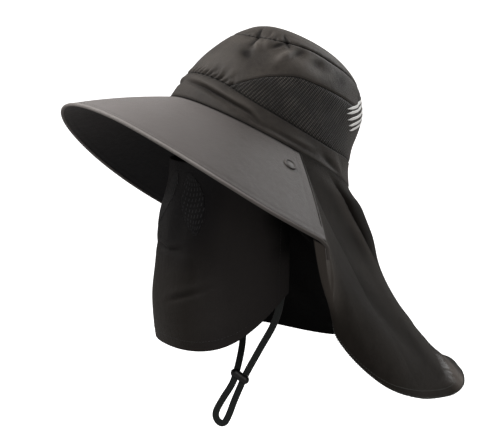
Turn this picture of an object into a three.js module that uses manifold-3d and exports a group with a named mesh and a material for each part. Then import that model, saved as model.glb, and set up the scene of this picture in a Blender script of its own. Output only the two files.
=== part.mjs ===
// Sun hat with a wide front brim, a neck cape, a face mask held by press snaps and a chin cord.
// Millimetres. +X is the wearer's left, +Y is the back, +Z is up.
// The crown is built level and leans back by one angle; cape, mask and cord hang straight down.
// The origin is the middle of the crown's mouth.
import * as THREE from "three";
import { mergeVertices } from "three/addons/utils/BufferGeometryUtils.js";
import Module from "manifold-3d";

// Crown
const HALF_LENGTH = 102.5;
const HALF_WIDTH = 81;
const CROWN_HEIGHT = 110.5;
const LEAN_BACK = 28;
const MOUTH_DIP = 2.8;
const TOP_SHIFT = -1.6;
// Brim
const BRIM_REACH = 88;
const BRIM_DROP = 74;
const BRIM_WALL = 2;
const BINDING = 3.2;
// Cape and mask
const CAPE_LENGTH = 250;
const MASK_LENGTH = 176;
const MASK_HALF = 101;
// Cloth, seams and cord
const CLOTH = 1.4;
const SEAM = 0.4;
const CORD_WIDE = 7;
const CORD_THICK = 2;

// Outline of the crown from mouth to top: height share, then radius shares to the side, front and back.
const CROWN = [
  { up: 0, side: 1, front: 1, back: 1 },
  { up: 0.06, side: 0.966, front: 0.99, back: 0.962 },
  { up: 0.16, side: 0.928, front: 0.968, back: 0.905 },
  { up: 0.3, side: 0.892, front: 0.936, back: 0.866 },
  { up: 0.45, side: 0.855, front: 0.881, back: 0.86 },
  { up: 0.6, side: 0.812, front: 0.811, back: 0.84 },
  { up: 0.73, side: 0.75, front: 0.72, back: 0.785 },
  { up: 0.84, side: 0.658, front: 0.616, back: 0.682 },
  { up: 0.92, side: 0.547, front: 0.513, back: 0.551 },
  { up: 0.975, side: 0.37, front: 0.354, back: 0.353 },
  { up: 1, side: 0, front: 0, back: 0 },
];
// Seam lines on the crown by angle from the front, as shares of the way up its outline.
const BAND_TOP = [
  { at: 0, way: 0.27 },
  { at: 30, way: 0.263 },
  { at: 55, way: 0.229 },
  { at: 85, way: 0.212 },
  { at: 112, way: 0.211 },
  { at: 140, way: 0.231 },
  { at: 180, way: 0.236 },
];
const MESH_TOP = [
  { at: 38, way: 0.262 },
  { at: 42, way: 0.284 },
  { at: 49, way: 0.343 },
  { at: 56, way: 0.39 },
  { at: 64, way: 0.43 },
  { at: 74, way: 0.468 },
  { at: 84, way: 0.483 },
  { at: 110, way: 0.508 },
  { at: 140, way: 0.52 },
  { at: 180, way: 0.525 },
];
const TIP_SEAM = [
  { at: 0, way: 0.61 },
  { at: 15, way: 0.62 },
  { at: 30, way: 0.633 },
  { at: 48, way: 0.66 },
  { at: 62, way: 0.692 },
  { at: 80, way: 0.722 },
  { at: 102, way: 0.72 },
  { at: 120, way: 0.716 },
  { at: 150, way: 0.695 },
  { at: 180, way: 0.685 },
];
const MESH_STARTS = 40.5;
// Dents of the soft crown: angle, way up, spread in degrees, spread in way, depth in mm.
const DENTS = [
  { at: 25, way: 0.61, wide: 9, tall: 0.05, deep: 4 },
  { at: 43, way: 0.52, wide: 10, tall: 0.08, deep: 1.8 },
  { at: 84, way: 0.6, wide: 16, tall: 0.05, deep: 2.2 },
  { at: 70, way: 0.72, wide: 12, tall: 0.03, deep: -1.2 },
  { at: 8, way: 0.4, wide: 12, tall: 0.06, deep: 1.4 },
  { at: 140, way: 0.6, wide: 18, tall: 0.06, deep: 1.6 },
  { at: -32, way: 0.6, wide: 14, tall: 0.06, deep: 2.4 },
  { at: -80, way: 0.56, wide: 18, tall: 0.07, deep: 2.2 },
  { at: -130, way: 0.6, wide: 18, tall: 0.06, deep: 1.6 },
];
// Brim: angle from the front (below 0 on the wearer's right), reach and drop as shares of the named sizes.
const BRIM = [
  { at: -110, reach: 0.976, drop: 1.066 },
  { at: -80, reach: 0.954, drop: 1.018 },
  { at: -60, reach: 0.95, drop: 0.955 },
  { at: -40, reach: 0.961, drop: 0.867 },
  { at: -20, reach: 0.979, drop: 0.778 },
  { at: 0, reach: 0.988, drop: 0.709 },
  { at: 20, reach: 0.979, drop: 0.721 },
  { at: 40, reach: 0.958, drop: 0.8 },
  { at: 60, reach: 0.942, drop: 0.89 },
  { at: 80, reach: 0.938, drop: 0.953 },
  { at: 110, reach: 0.955, drop: 0.962 },
];
const BRIM_ENDS = { mouth: 91.5, rim: 96.5 };
// Cape, from the middle of the back (0) to the front edge (1). Hem place and swell as shares of its length:
// the hem is so far out, back and down; the swells push the upper and lower third out and back; the lift
// raises the hem on the wearer's right.
const CAPE = [
  { from: 0, out: 0, back: 0.895, down: 0.916, out1: 0, back1: -0.04, out2: 0, back2: -0.192, lift: 0 },
  { from: 0.22, out: 0.224, back: 0.836, down: 0.942, out1: 0, back1: -0.056, out2: 0, back2: -0.2, lift: 0.024 },
  { from: 0.42, out: 0.416, back: 0.676, down: 0.964, out1: -0.008, back1: -0.08, out2: 0.008, back2: -0.12, lift: 0.056 },
  { from: 0.52, out: 0.472, back: 0.592, down: 0.974, out1: -0.016, back1: -0.088, out2: 0.016, back2: -0.056, lift: 0.068 },
  { from: 0.68, out: 0.564, back: 0.397, down: 0.938, out1: 0.008, back1: -0.072, out2: 0.032, back2: 0.008, lift: 0.072 },
  { from: 0.84, out: 0.604, back: 0.196, down: 0.852, out1: 0.024, back1: -0.04, out2: 0.032, back2: 0, lift: 0.04 },
  { from: 1, out: 0.6, back: 0.017, down: 0.674, out1: 0.008, back1: -0.016, out2: 0.008, back2: 0, lift: 0 },
  { from: 1.07, out: 0.592, back: -0.006, down: 0.566, out1: 0, back1: -0.012, out2: 0, back2: -0.02, lift: 0 },
];
const CAPE_CORNER = 0.66;
const CAPE_UNDER = 0.07;
const CAPE_FOLDS = { count: 5, deep: 0.01 };
// Mask sections from its top edge (0) to its hem (1): how far forward and down the middle and the side edges
// are, and how wide it is, as shares of its length and half width.
const MASK = [
  { way: 0, front: 0.462, down: 0.085, wide: 1, edge: 0.12, edgeDown: 0.08 },
  { way: 0.15, front: 0.48, down: 0.216, wide: 0.97, edge: 0.116, edgeDown: 0.23 },
  { way: 0.35, front: 0.543, down: 0.398, wide: 0.93, edge: 0.114, edgeDown: 0.364 },
  { way: 0.6, front: 0.577, down: 0.636, wide: 0.905, edge: 0.114, edgeDown: 0.523 },
  { way: 0.85, front: 0.609, down: 0.892, wide: 0.891, edge: 0.114, edgeDown: 0.67 },
  { way: 1, front: 0.585, down: 1.085, wide: 0.871, edge: 0.114, edgeDown: 0.761 },
];
const TUCK = { way: 0.52, tall: 0.025, wide: 0.3, deep: 2.4 };
// Breathing patch: its top and bottom on the mask, the middle there, and its half width.
const PATCH = { top: 0.06, bottom: 0.42, from: 0.08, to: 0.31, half: 0.13 };
const SNAP = { at: 84, out: 0.27, cap: 6.5, high: 1.8, socket: 4.6, deep: 2 };
// Chin cord on each side: where it is sewn inside the band, then out, back and down in mm to the slider.
const CORD_SEWN = { at: 85, way: 0.07 };
const STRAND = [
  { out: 75, back: -9.5, down: 16 },
  { out: 74, back: -10, down: 40 },
  { out: 70, back: -9, down: 80 },
  { out: 62, back: -6, down: 118 },
  { out: 50, back: -2.5, down: 150 },
  { out: 36, back: -2.5, down: 174 },
  { out: 20, back: -9.5, down: 201 },
];
// Slider and loop, in the plane that faces the left front: across and down in mm from the slider's middle.
const SLIDER = { back: -22, down: 232, wide: 21, high: 9.5, thick: 8, turn: 36 };
const LOOP = [
  { across: 4.6, down: 0.6 },
  { across: 1, down: 9 },
  { across: -5.4, down: 24 },
  { across: -12, down: 41 },
  { across: -16.5, down: 48 },
  { across: -21.8, down: 45.5 },
  { across: -24.6, down: 38 },
  { across: -17.4, down: 23 },
  { across: -8.2, down: 8.5 },
  { across: -4.6, down: -0.6 },
];
const LOOP_FACES = 64.7;

const RAD = Math.PI / 180;
const V = (x, y, z) => new THREE.Vector3(x, y, z);
const HEAD = V(0, 0, -60);

// Smooth curve through the rows of a table.
function along(table, key, name, x) {
  const last = table.length - 1;
  const at = Math.min(Math.max(x, table[0][key]), table[last][key]);
  let i = 0;
  while (i < last - 1 && at >= table[i + 1][key]) i += 1;
  const slope = (k) => {
    const a = table[Math.max(k - 1, 0)];
    const b = table[Math.min(k + 1, last)];
    return (b[name] - a[name]) / (b[key] - a[key]);
  };
  const h = table[i + 1][key] - table[i][key];
  const t = (at - table[i][key]) / h;
  const s = t * t;
  const c = s * t;
  return (
    (2 * c - 3 * s + 1) * table[i][name] +
    (c - 2 * s + t) * slope(i) * h +
    (3 * s - 2 * c) * table[i + 1][name] +
    (c - s) * slope(i + 1) * h
  );
}

// Adds the mirror image of the second row before the first one, so that a curve runs level over the middle.
function overMiddle(table, key, odd) {
  const row = { ...table[1], [key]: 2 * table[0][key] - table[1][key] };
  if (odd) row[odd] = -row[odd];
  return [row, ...table];
}

// The same at the far end of the table.
function overEnd(table, key) {
  const last = table.length - 1;
  return [...table, { ...table[last - 1], [key]: 2 * table[last][key] - table[last - 1][key] }];
}

const CAPE_ROWS = overMiddle(CAPE, "from", "out");
const BAND_ROWS = overEnd(overMiddle(BAND_TOP, "at"), "at");
const TIP_ROWS = overEnd(overMiddle(TIP_SEAM, "at"), "at");
const MESH_ROWS = overEnd(MESH_TOP, "at");
const CROWN_ROWS = CROWN.map((row, i) => ({ ...row, n: i / (CROWN.length - 1) }));

// Turns a point of the level crown into the leaning one.
function lean(p) {
  const c = Math.cos(LEAN_BACK * RAD);
  const s = Math.sin(LEAN_BACK * RAD);
  return V(p.x, p.y * c + p.z * s, -p.y * s + p.z * c);
}

function dentAt(deg, way) {
  let sum = 0;
  for (const d of DENTS) {
    const a = ((deg - d.at + 540) % 360) - 180;
    sum += d.deep * Math.exp(-((a / d.wide) ** 2) - ((way - d.way) / d.tall) ** 2);
  }
  const gather = Math.exp(-(((deg - 24) / 14) ** 2) - ((way - 0.31) / 0.035) ** 2);
  sum += 0.9 * gather * Math.sin(deg * 0.85);
  const fold = way - (0.2 - 0.0027 * (deg - 17));
  sum += 1.3 * Math.exp(-((fold / 0.018) ** 2) - ((deg - 42) / 20) ** 4);
  return sum;
}

// Point of the crown at an angle from the front and a share of the way up.
function crownAt(deg, way) {
  const a = deg * RAD;
  const up = along(CROWN_ROWS, "n", "up", way);
  const side = Math.max(along(CROWN_ROWS, "n", "side", way), 0);
  const front = Math.max(along(CROWN_ROWS, "n", "front", way), 0);
  const back = Math.max(along(CROWN_ROWS, "n", "back", way), 0);
  const c = Math.cos(a);
  let r = side + (front - side) * Math.max(c, 0) ** 2 + (back - side) * Math.max(-c, 0) ** 2;
  r *= 1 - dentAt(deg, way) / HALF_WIDTH;
  const dip = MOUTH_DIP * Math.sin(a) ** 2 * Math.max(1 - up / 0.5, 0) ** 2;
  return lean(V(HALF_WIDTH * r * Math.sin(a), TOP_SHIFT * up - HALF_LENGTH * r * c, CROWN_HEIGHT * up - dip));
}

// Point of the mouth's edge, just under the band.
function mouthAt(deg) {
  const a = deg * RAD;
  return V(HALF_WIDTH * Math.sin(a), -HALF_LENGTH * Math.cos(a), -MOUTH_DIP * Math.sin(a) ** 2 - 2 * SEAM);
}

// Point of the brim's upper face at an angle from the front and a share of the way out.
function brimAt(deg, way) {
  const a = deg * RAD;
  const reach = BRIM_REACH * along(BRIM, "at", "reach", deg);
  const drop = BRIM_DROP * along(BRIM, "at", "drop", deg);
  const bow = 0.1 * way * (1 - way);
  const out = V(Math.sin(a) * HALF_LENGTH, -Math.cos(a) * HALF_WIDTH, 0).normalize();
  const p = mouthAt(deg).addScaledVector(out, reach * (way + bow));
  p.z -= drop * (way - bow);
  return lean(p);
}

function brimEnd(way) {
  return BRIM_ENDS.mouth + (BRIM_ENDS.rim - BRIM_ENDS.mouth) * way;
}

// Top edge of the cape: round the mouth, down the back edge of the brim, then a little way under its corner.
// The brim hangs a little lower on the wearer's right, so each side has its own edge, turned to the left here.
function capeTop(from, side) {
  if (from <= CAPE_CORNER) {
    return lean(mouthAt(180 - (180 - BRIM_ENDS.mouth - 1) * (from / CAPE_CORNER)));
  }
  const way = Math.min((from - CAPE_CORNER) / (1 - CAPE_CORNER), 1) * 0.985;
  const under = Math.min(Math.max((from - 0.95) / 0.05, 0), 1);
  const forward = Math.max(from - 1, 0) / CAPE_UNDER;
  const p = brimAt(side * (brimEnd(way) - 4 * forward), way);
  const behind = brimAt(side * (brimEnd(way) + 1), way).sub(brimAt(side * brimEnd(way), way)).normalize();
  p.addScaledVector(behind, 4 * SEAM * (1 - forward));
  p.x *= side;
  p.z -= under * (BRIM_WALL + BINDING + 2 * SEAM);
  return p;
}

// Point of the cape, u below 0 on the right, 0 at the back, 1 at the brim's corner, v down to the hem.
function capeAt(u, v) {
  const a = Math.abs(u);
  const get = (name) => CAPE_LENGTH * along(CAPE_ROWS, "from", name, a);
  const top = capeTop(a, u < 0 ? -1 : 1);
  const hem = V(get("out"), get("back"), -get("down") + (u < 0 ? get("lift") : 0));
  const p1 = top.clone().lerp(hem, 1 / 3).add(V(get("out1"), get("back1"), 0));
  const p2 = top.clone().lerp(hem, 2 / 3).add(V(get("out2"), get("back2"), 0));
  const w = 1 - v;
  const p = top.multiplyScalar(w ** 3).addScaledVector(p1, 3 * w * w * v);
  p.addScaledVector(p2, 3 * w * v * v).addScaledVector(hem, v ** 3);
  const fold = CAPE_LENGTH * CAPE_FOLDS.deep * v * v * Math.cos(u * CAPE_FOLDS.count * Math.PI);
  const edge = CAPE_LENGTH * 0.01 * Math.exp(-(((a - 1.02) / 0.02) ** 2)) * v * (1.4 - v);
  const out = V(hem.x, hem.y * 0.7, 0).normalize();
  p.addScaledVector(out, fold * Math.max(1 - a ** 8, 0) - edge);
  if (u < 0) p.x = -p.x;
  return p;
}

// Top corner of the mask on one side, just under the snap's lower half, turned to the left.
function underSnap(side) {
  const out = facing(brimAt, side * SNAP.at, SNAP.out, 0.2, 0.004);
  const p = brimAt(side * SNAP.at, SNAP.out).addScaledVector(out, -BRIM_WALL - SEAM - SNAP.deep);
  p.x = side * p.x - CLOTH / 2;
  return p;
}

// Point of the mask, u from -1 (right edge) through 0 (nose) to 1 (left edge), v down to the hem.
function maskAt(u, v) {
  const get = (name) => along(MASK, "way", name, v);
  const a = Math.min(Math.abs(u), 1);
  const turn = a * 90 * RAD;
  const front = -MASK_LENGTH * get("front");
  const edge = -MASK_LENGTH * get("edge");
  const down = -MASK_LENGTH * get("down");
  const edgeDown = -MASK_LENGTH * get("edgeDown");
  const x = MASK_HALF * get("wide") * Math.sin(turn) ** 0.9 * Math.sign(u);
  const tuck = TUCK.deep * Math.exp(-(((v - TUCK.way) / TUCK.tall) ** 2) - (u / TUCK.wide) ** 2);
  const y = front + (edge - front) * (1 - Math.cos(turn) ** 0.9) + tuck;
  const z = down + (edgeDown - down) * a ** (1.7 + 2.2 * v);
  const pull = a ** 8 * (1 - v) ** 4;
  const first = MASK[0];
  const corner = V(MASK_HALF * first.wide, -MASK_LENGTH * first.edge, -MASK_LENGTH * first.edgeDown);
  const shift = underSnap(u < 0 ? -1 : 1).sub(corner).multiplyScalar(pull);
  return V(x + shift.x * Math.sign(u), y + shift.y, z + shift.z);
}

function steps(from, to, count) {
  return Array.from({ length: count + 1 }, (_, i) => from + ((to - from) * i) / count);
}

// Outward direction of a surface, found from two short steps on it; outward is away from the head.
function facing(surface, u, v, du, dv) {
  const a = surface(u + du, v).sub(surface(u - du, v));
  const b = surface(u, v + dv).sub(surface(u, v - dv));
  const n = a.cross(b).normalize();
  return n.dot(surface(u, v).sub(HEAD)) < 0 ? n.negate() : n;
}

// Closed sheet of cloth over a surface: outer face, inner face and the edges between them.
function sheet(surface, us, vs, wall, { ring = false, pole = false, lift = 0 } = {}) {
  const points = [];
  const faces = [];
  const outer = [];
  const inner = [];
  const du = (us[us.length - 1] - us[0]) * 0.002;
  const dv = (vs[vs.length - 1] - vs[0]) * 0.004;
  const lastV = vs.length - 1;
  us.forEach((u, i) => {
    outer.push([]);
    inner.push([]);
    vs.forEach((v, j) => {
      if (pole && j === lastV && i > 0) {
        outer[i].push(outer[0][j]);
        inner[i].push(inner[0][j]);
        return;
      }
      const p = surface(u, v);
      let n = facing(surface, u, v, du, dv);
      if (pole && j === lastV) {
        n = V(0, 0, 0);
        us.forEach((w) => n.add(facing(surface, w, v - 3 * dv, du, dv)));
        n.normalize();
      }
      outer[i].push(points.push(p.clone().addScaledVector(n, lift)) - 1);
      inner[i].push(points.push(p.clone().addScaledVector(n, lift - wall)) - 1);
    });
  });
  const quad = (a, b, c, d) => {
    if (a !== b && b !== c && a !== c) faces.push(a, b, c);
    if (a !== c && c !== d && a !== d) faces.push(a, c, d);
  };
  const spans = ring ? us.length : us.length - 1;
  for (let i = 0; i < spans; i += 1) {
    const k = (i + 1) % us.length;
    for (let j = 0; j < lastV; j += 1) {
      quad(outer[i][j], outer[k][j], outer[k][j + 1], outer[i][j + 1]);
      quad(inner[i][j + 1], inner[k][j + 1], inner[k][j], inner[i][j]);
    }
    quad(inner[i][0], inner[k][0], outer[k][0], outer[i][0]);
    if (!pole) quad(outer[i][lastV], outer[k][lastV], inner[k][lastV], inner[i][lastV]);
  }
  if (!ring) {
    const e = us.length - 1;
    for (let j = 0; j < lastV; j += 1) {
      quad(inner[0][j], outer[0][j], outer[0][j + 1], inner[0][j + 1]);
      quad(outer[e][j], inner[e][j], inner[e][j + 1], outer[e][j + 1]);
    }
  }
  return closed(points, faces);
}

// Sweep of an oval along a path, with its flat side square to a given direction, and closed ends.
function ribbon(path, wide, thick, sides, faceAt) {
  const points = [];
  const faces = [];
  path.forEach((p, i) => {
    const a = path[Math.max(i - 1, 0)];
    const b = path[Math.min(i + 1, path.length - 1)];
    const t = b.clone().sub(a).normalize();
    const across = t.clone().cross(faceAt(i)).normalize();
    const flat = across.clone().cross(t).normalize();
    for (let k = 0; k < sides; k += 1) {
      const w = ((k + 0.5) / sides) * 2 * Math.PI;
      const q = p.clone().addScaledVector(across, (Math.cos(w) * wide) / 2);
      points.push(q.addScaledVector(flat, (Math.sin(w) * thick) / 2));
    }
  });
  for (let i = 0; i + 1 < path.length; i += 1) {
    for (let k = 0; k < sides; k += 1) {
      const m = (k + 1) % sides;
      const a = i * sides;
      const b = (i + 1) * sides;
      faces.push(a + k, a + m, b + m, a + k, b + m, b + k);
    }
  }
  const end = (path.length - 1) * sides;
  for (let k = 1; k + 1 < sides; k += 1) {
    faces.push(0, k + 1, k);
    faces.push(end, end + k, end + k + 1);
  }
  return closed(points, faces);
}

// Makes the geometry and turns it right side out if its volume comes out negative.
function closed(points, faces) {
  let volume = 0;
  for (let i = 0; i < faces.length; i += 3) {
    const [a, b, c] = [points[faces[i]], points[faces[i + 1]], points[faces[i + 2]]];
    volume += a.dot(b.clone().cross(c));
  }
  const index = volume < 0 ? faces.slice().reverse() : faces;
  const geometry = new THREE.BufferGeometry();
  geometry.setAttribute("position", new THREE.Float32BufferAttribute(points.flatMap((p) => [p.x, p.y, p.z]), 3));
  geometry.setIndex(index);
  geometry.computeVertexNormals();
  return geometry;
}

const { Manifold, Mesh } = await Module().then((m) => {
  m.setup();
  return m;
});

function toSolid(geometry) {
  const solid = new Mesh({
    numProp: 3,
    vertProperties: new Float32Array(geometry.attributes.position.array),
    triVerts: new Uint32Array(geometry.index.array),
  });
  solid.merge();
  return new Manifold(solid);
}

function fromSolid(solid) {
  const mesh = solid.getMesh();
  const geometry = new THREE.BufferGeometry();
  geometry.setAttribute("position", new THREE.Float32BufferAttribute(mesh.vertProperties, 3));
  geometry.setIndex(Array.from(mesh.triVerts));
  geometry.computeVertexNormals();
  return geometry;
}

const hat = new THREE.Group();
hat.name = "sun_hat";

function add(name, geometry, color, roughness, metalness = 0) {
  const mesh = new THREE.Mesh(geometry, new THREE.MeshStandardMaterial({ color, roughness, metalness }));
  mesh.name = name;
  hat.add(mesh);
  return mesh;
}

const CLOTH_COLOR = 0x2b2a28;
const BRIM_COLOR = 0x5a5452;
const MASK_COLOR = 0x24221f;
const MESH_COLOR = 0x211f1e;

// Crown: each piece is a strip of the same outline between two seams, half a seam away from each.
const halfSeam = (deg, way) => {
  const step = crownAt(deg, way + 0.01).distanceTo(crownAt(deg, way - 0.01)) / 0.02;
  return SEAM / 2 / step;
};
const bandTop = (deg) => along(BAND_ROWS, "at", "way", Math.abs(deg));
const meshTop = (deg) => along(MESH_ROWS, "at", "way", Math.abs(deg));
const tipSeam = (deg) => along(TIP_ROWS, "at", "way", Math.abs(deg));
const wallFoot = (deg) => (Math.abs(deg) < MESH_TOP[0].at ? bandTop(deg) : Math.max(meshTop(deg), bandTop(deg)));
const half = (deg) => ((((deg + 180) % 360) + 360) % 360) - 180;

function strip(low, high) {
  return (deg, t) => {
    const d = half(deg);
    const a = low(d);
    const b = high(d);
    return crownAt(d, a + (b - a) * t);
  };
}

// Angles of the crown's columns on one side; every crown piece uses them, so that its seams run together.
const SIDE_ANGLES = [0, 7, 13, 19, 25, 31, 36, MESH_STARTS, 43.5, 47, 51.5, 57, 63, 70, 78, 87, 97, 108, 120, 133, 148, 164, 180];
const ROUND = SIDE_ANGLES.slice(1).reverse().map((a) => -a).concat(SIDE_ANGLES).slice(1);
const bandLow = () => 0;
const bandHigh = (d) => bandTop(d) - halfSeam(d, bandTop(d));
add("crown_band", sheet(strip(bandLow, bandHigh), ROUND, steps(0, 1, 3), CLOTH, { ring: true }), CLOTH_COLOR, 0.75);

const meshLow = (d) => bandTop(d) + halfSeam(d, bandTop(d));
const meshHigh = (d) => meshTop(d) - halfSeam(d, meshTop(d));
const BACK_ANGLES = SIDE_ANGLES.filter((a) => a >= MESH_STARTS);
const meshDegs = BACK_ANGLES.concat(BACK_ANGLES.slice(0, -1).reverse().map((a) => 360 - a));
add("crown_mesh", sheet(strip(meshLow, meshHigh), meshDegs, steps(0, 1, 3), CLOTH * 0.8), MESH_COLOR, 0.85);

const wallLow = (d) => wallFoot(d) + halfSeam(d, wallFoot(d));
const wallHigh = (d) => tipSeam(d) - halfSeam(d, tipSeam(d));
add("crown_wall", sheet(strip(wallLow, wallHigh), ROUND, steps(0, 1, 5), CLOTH, { ring: true }), CLOTH_COLOR, 0.75);

const tipLow = (d) => tipSeam(d) + halfSeam(d, tipSeam(d));
const TIP_WAYS = [0, 0.12, 0.3, 0.5, 0.72, 1];
const tip = sheet(strip(tipLow, () => 1), ROUND, TIP_WAYS, CLOTH, { ring: true, pole: true });
add("crown_tip", tip, CLOTH_COLOR, 0.75);

// Brim and the bound edge along its rim.
const RIM_WAY = 0.985;
const brimSurface = (q, way) => brimAt(q * brimEnd(way), way);
const brim = sheet(brimSurface, steps(-1, 1, 56), steps(0, RIM_WAY, 6), BRIM_WALL);
add("brim", brim, BRIM_COLOR, 0.6);
const rimWay = RIM_WAY + (BINDING / 2 + SEAM) / Math.hypot(BRIM_REACH, BRIM_DROP * 0.9);
const rimPath = steps(-1, 1, 60).map((q) => {
  const p = brimAt(q * brimEnd(1), rimWay);
  const n = facing(brimAt, q * brimEnd(1), RIM_WAY, 0.2, 0.004);
  return p.addScaledVector(n, -BRIM_WALL / 2);
});
const rimFace = (i) => {
  const q = -1 + (2 * i) / 60;
  return facing(brimAt, q * brimEnd(1), RIM_WAY, 0.2, 0.004);
};
// Beyond each corner of the brim the binding turns down over the cape.
const TAIL = steps(0.05, 0.17, 3);
const tail = (side) =>
  TAIL.map((v) => {
    const p = capeAt(side * 0.995, v);
    const n = facing(capeAt, side * 0.99, v, 0.01, 0.01);
    return p.addScaledVector(n, BINDING / 2 + 6 * SEAM);
  });
const bindingPath = [...tail(-1).reverse(), ...rimPath, ...tail(1)];
const bindingFace = (i) => rimFace(Math.min(Math.max(i - TAIL.length, 0), 60));
add("brim_binding", ribbon(bindingPath, BINDING, BINDING, 6, bindingFace), 0x2a2827, 0.7);

// Cape
const CAPE_HALF = [0, 0.09, 0.18, 0.27, 0.36, 0.44, 0.52, 0.59, 0.66, 0.73, 0.8, 0.87, 0.925, 0.96, 1, 1.035, 1.07];
const capeUs = CAPE_HALF.slice(1).reverse().map((a) => -a).concat(CAPE_HALF);
add("neck_cape", sheet(capeAt, capeUs, steps(0, 1, 14), CLOTH), CLOTH_COLOR, 0.8);

// Mask with a breathing patch let into each cheek
const MASK_HALF_US = [0, 0.06, 0.13, 0.2, 0.28, 0.37, 0.47, 0.58, 0.7, 0.84, 1];
const maskUs = MASK_HALF_US.slice(1).reverse().map((a) => -a).concat(MASK_HALF_US);
const MASK_VS = [0, 0.1, 0.2, 0.3, 0.4, 0.48, 0.52, 0.56, 0.66, 0.76, 0.86, 0.94, 1];
const maskSheet = sheet(maskAt, maskUs, MASK_VS, CLOTH);

function patchSurface(side, grow) {
  return (q, t) => {
    const v = PATCH.top - grow * 0.006 + (PATCH.bottom - PATCH.top + grow * 0.012) * t;
    const w = PATCH.half * Math.sin(Math.PI * Math.min(Math.max(t, 0.03), 0.97)) ** 0.7 + grow * 0.006;
    const middle = PATCH.from + (PATCH.to - PATCH.from) * t;
    return maskAt(side * (middle + w * q), v);
  };
}
let maskSolid = toSolid(maskSheet);
for (const [side, name] of [[1, "left"], [-1, "right"]]) {
  const cutter = sheet(patchSurface(side, 1), steps(-1, 1, 4), steps(0, 1, 8), 7, { lift: 3.5 });
  maskSolid = maskSolid.subtract(toSolid(cutter));
  const patch = sheet(patchSurface(side, 0), steps(-1, 1, 4), steps(0, 1, 8), CLOTH * 0.8, { lift: -0.2 });
  add(`mask_mesh_${name}`, patch, MESH_COLOR, 0.85);
}
add("face_mask", fromSolid(maskSolid), MASK_COLOR, 0.8);

// Snaps that hold the mask's corners under the brim
function button(radius, high, rounded) {
  const rows = rounded
    ? [V(0, 0, 0), V(radius, 0, 0), V(radius, high * 0.45, 0), V(radius * 0.72, high, 0), V(0, high * 0.85, 0)]
    : [V(0, 0, 0), V(radius, 0, 0), V(radius, high * 0.6, 0), V(radius * 0.6, high, 0), V(0, high, 0)];
  return new THREE.LatheGeometry(rows.map((p) => new THREE.Vector2(p.x, p.y)), 20).rotateX(Math.PI / 2);
}
for (const [side, name] of [[1, "left"], [-1, "right"]]) {
  const p = brimAt(side * SNAP.at, SNAP.out);
  const n = facing(brimAt, side * SNAP.at, SNAP.out, 0.2, 0.004);
  const turn = new THREE.Quaternion().setFromUnitVectors(V(0, 0, 1), n);
  const cap = add(`snap_cap_${name}`, button(SNAP.cap, SNAP.high, true), 0x4a4644, 0.45, 0.2);
  cap.quaternion.copy(turn);
  cap.position.copy(p).addScaledVector(n, SEAM);
  const socket = add(`snap_socket_${name}`, button(SNAP.socket, SNAP.deep, false), 0x1c1b1a, 0.5, 0.3);
  socket.quaternion.copy(turn);
  socket.position.copy(p).addScaledVector(n, -BRIM_WALL - SEAM - SNAP.deep);
}

// Chin cord: down from the mouth on the right, round the loop under the slider, and up on the left.
const faceOut = V(Math.sin(LOOP_FACES * RAD), -Math.cos(LOOP_FACES * RAD), 0.08).normalize();
const acrossLoop = V(Math.cos(LOOP_FACES * RAD), Math.sin(LOOP_FACES * RAD), 0);
const downLoop = acrossLoop.clone().cross(faceOut).normalize();
if (downLoop.z > 0) downLoop.negate();
const sliderAt = V(0, SLIDER.back, -SLIDER.down);
const inLoop = (row) => sliderAt.clone().addScaledVector(acrossLoop, row.across).addScaledVector(downLoop, row.down);
const sewnTo = (side) => {
  const out = facing(crownAt, side * CORD_SEWN.at, CORD_SEWN.way, 0.5, 0.01);
  const at = crownAt(side * CORD_SEWN.at, CORD_SEWN.way).addScaledVector(out, -CLOTH - SEAM - CORD_THICK / 2);
  return { at, face: out.multiplyScalar(side) };
};
const left = [sewnTo(1).at, ...STRAND.map((row) => V(row.out, row.back, -row.down))];
const right = [sewnTo(-1).at, ...STRAND.map((row) => V(-row.out, row.back, -row.down))];
const route = left.concat(LOOP.map(inLoop), right.reverse());
const cordLine = new THREE.CatmullRomCurve3(route, false, "centripetal");
const cordPath = cordLine.getSpacedPoints(76);
// The cord lies flat on the band where it is sewn and turns to the left front over a short way down.
const cordFace = (i) => {
  const p = cordPath[i];
  const end = sewnTo(Math.sign(p.x) || 1);
  const share = Math.max(1 - (end.at.z - p.z) / 50, 0);
  return faceOut.clone().lerp(end.face, share);
};
add("chin_cord", ribbon(cordPath, CORD_WIDE, CORD_THICK, 8, cordFace), 0x1f2524, 0.85);

// Slider with a hole for each strand
const bead = new THREE.CapsuleGeometry(SLIDER.high / 2, SLIDER.wide - SLIDER.high, 5, 14);
bead.rotateZ(Math.PI / 2).scale(1, SLIDER.thick / SLIDER.high, 1);
const frame = new THREE.Matrix4().makeBasis(acrossLoop, faceOut.clone().negate(), downLoop.clone().negate());
frame.multiply(new THREE.Matrix4().makeRotationY(SLIDER.turn * RAD));
frame.setPosition(sliderAt);
bead.applyMatrix4(frame);
bead.deleteAttribute("normal");
bead.deleteAttribute("uv");
let slider = toSolid(mergeVertices(bead));
const near = cordPath.filter((p) => p.distanceTo(sliderAt) < SLIDER.wide);
const runs = [near.slice(0, 1), []];
for (let i = 1; i < near.length; i += 1) {
  if (near[i].distanceTo(near[i - 1]) > 12) runs[1] = near.slice(i);
  else if (runs[1].length === 0) runs[0].push(near[i]);
}
for (const run of runs) {
  if (run.length > 1) {
    const hole = ribbon(run, CORD_WIDE + 2 * SEAM, CORD_THICK + 2 * SEAM, 8, () => faceOut);
    slider = slider.subtract(toSolid(hole));
  }
}
add("cord_slider", fromSolid(slider), 0x141414, 0.5);

export default hat;
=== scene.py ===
"""Looks of the sun hat: crown, brim, neck cape, face mask, snaps and chin cord.

Sizes are in millimetres until a mesh is written; the scene is in metres.
+X is the wearer's left, +Y is the back, +Z is up, and the origin is the middle of the crown's mouth.
"""

import bpy
import numpy as np
from mathutils import Matrix, Vector


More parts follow.
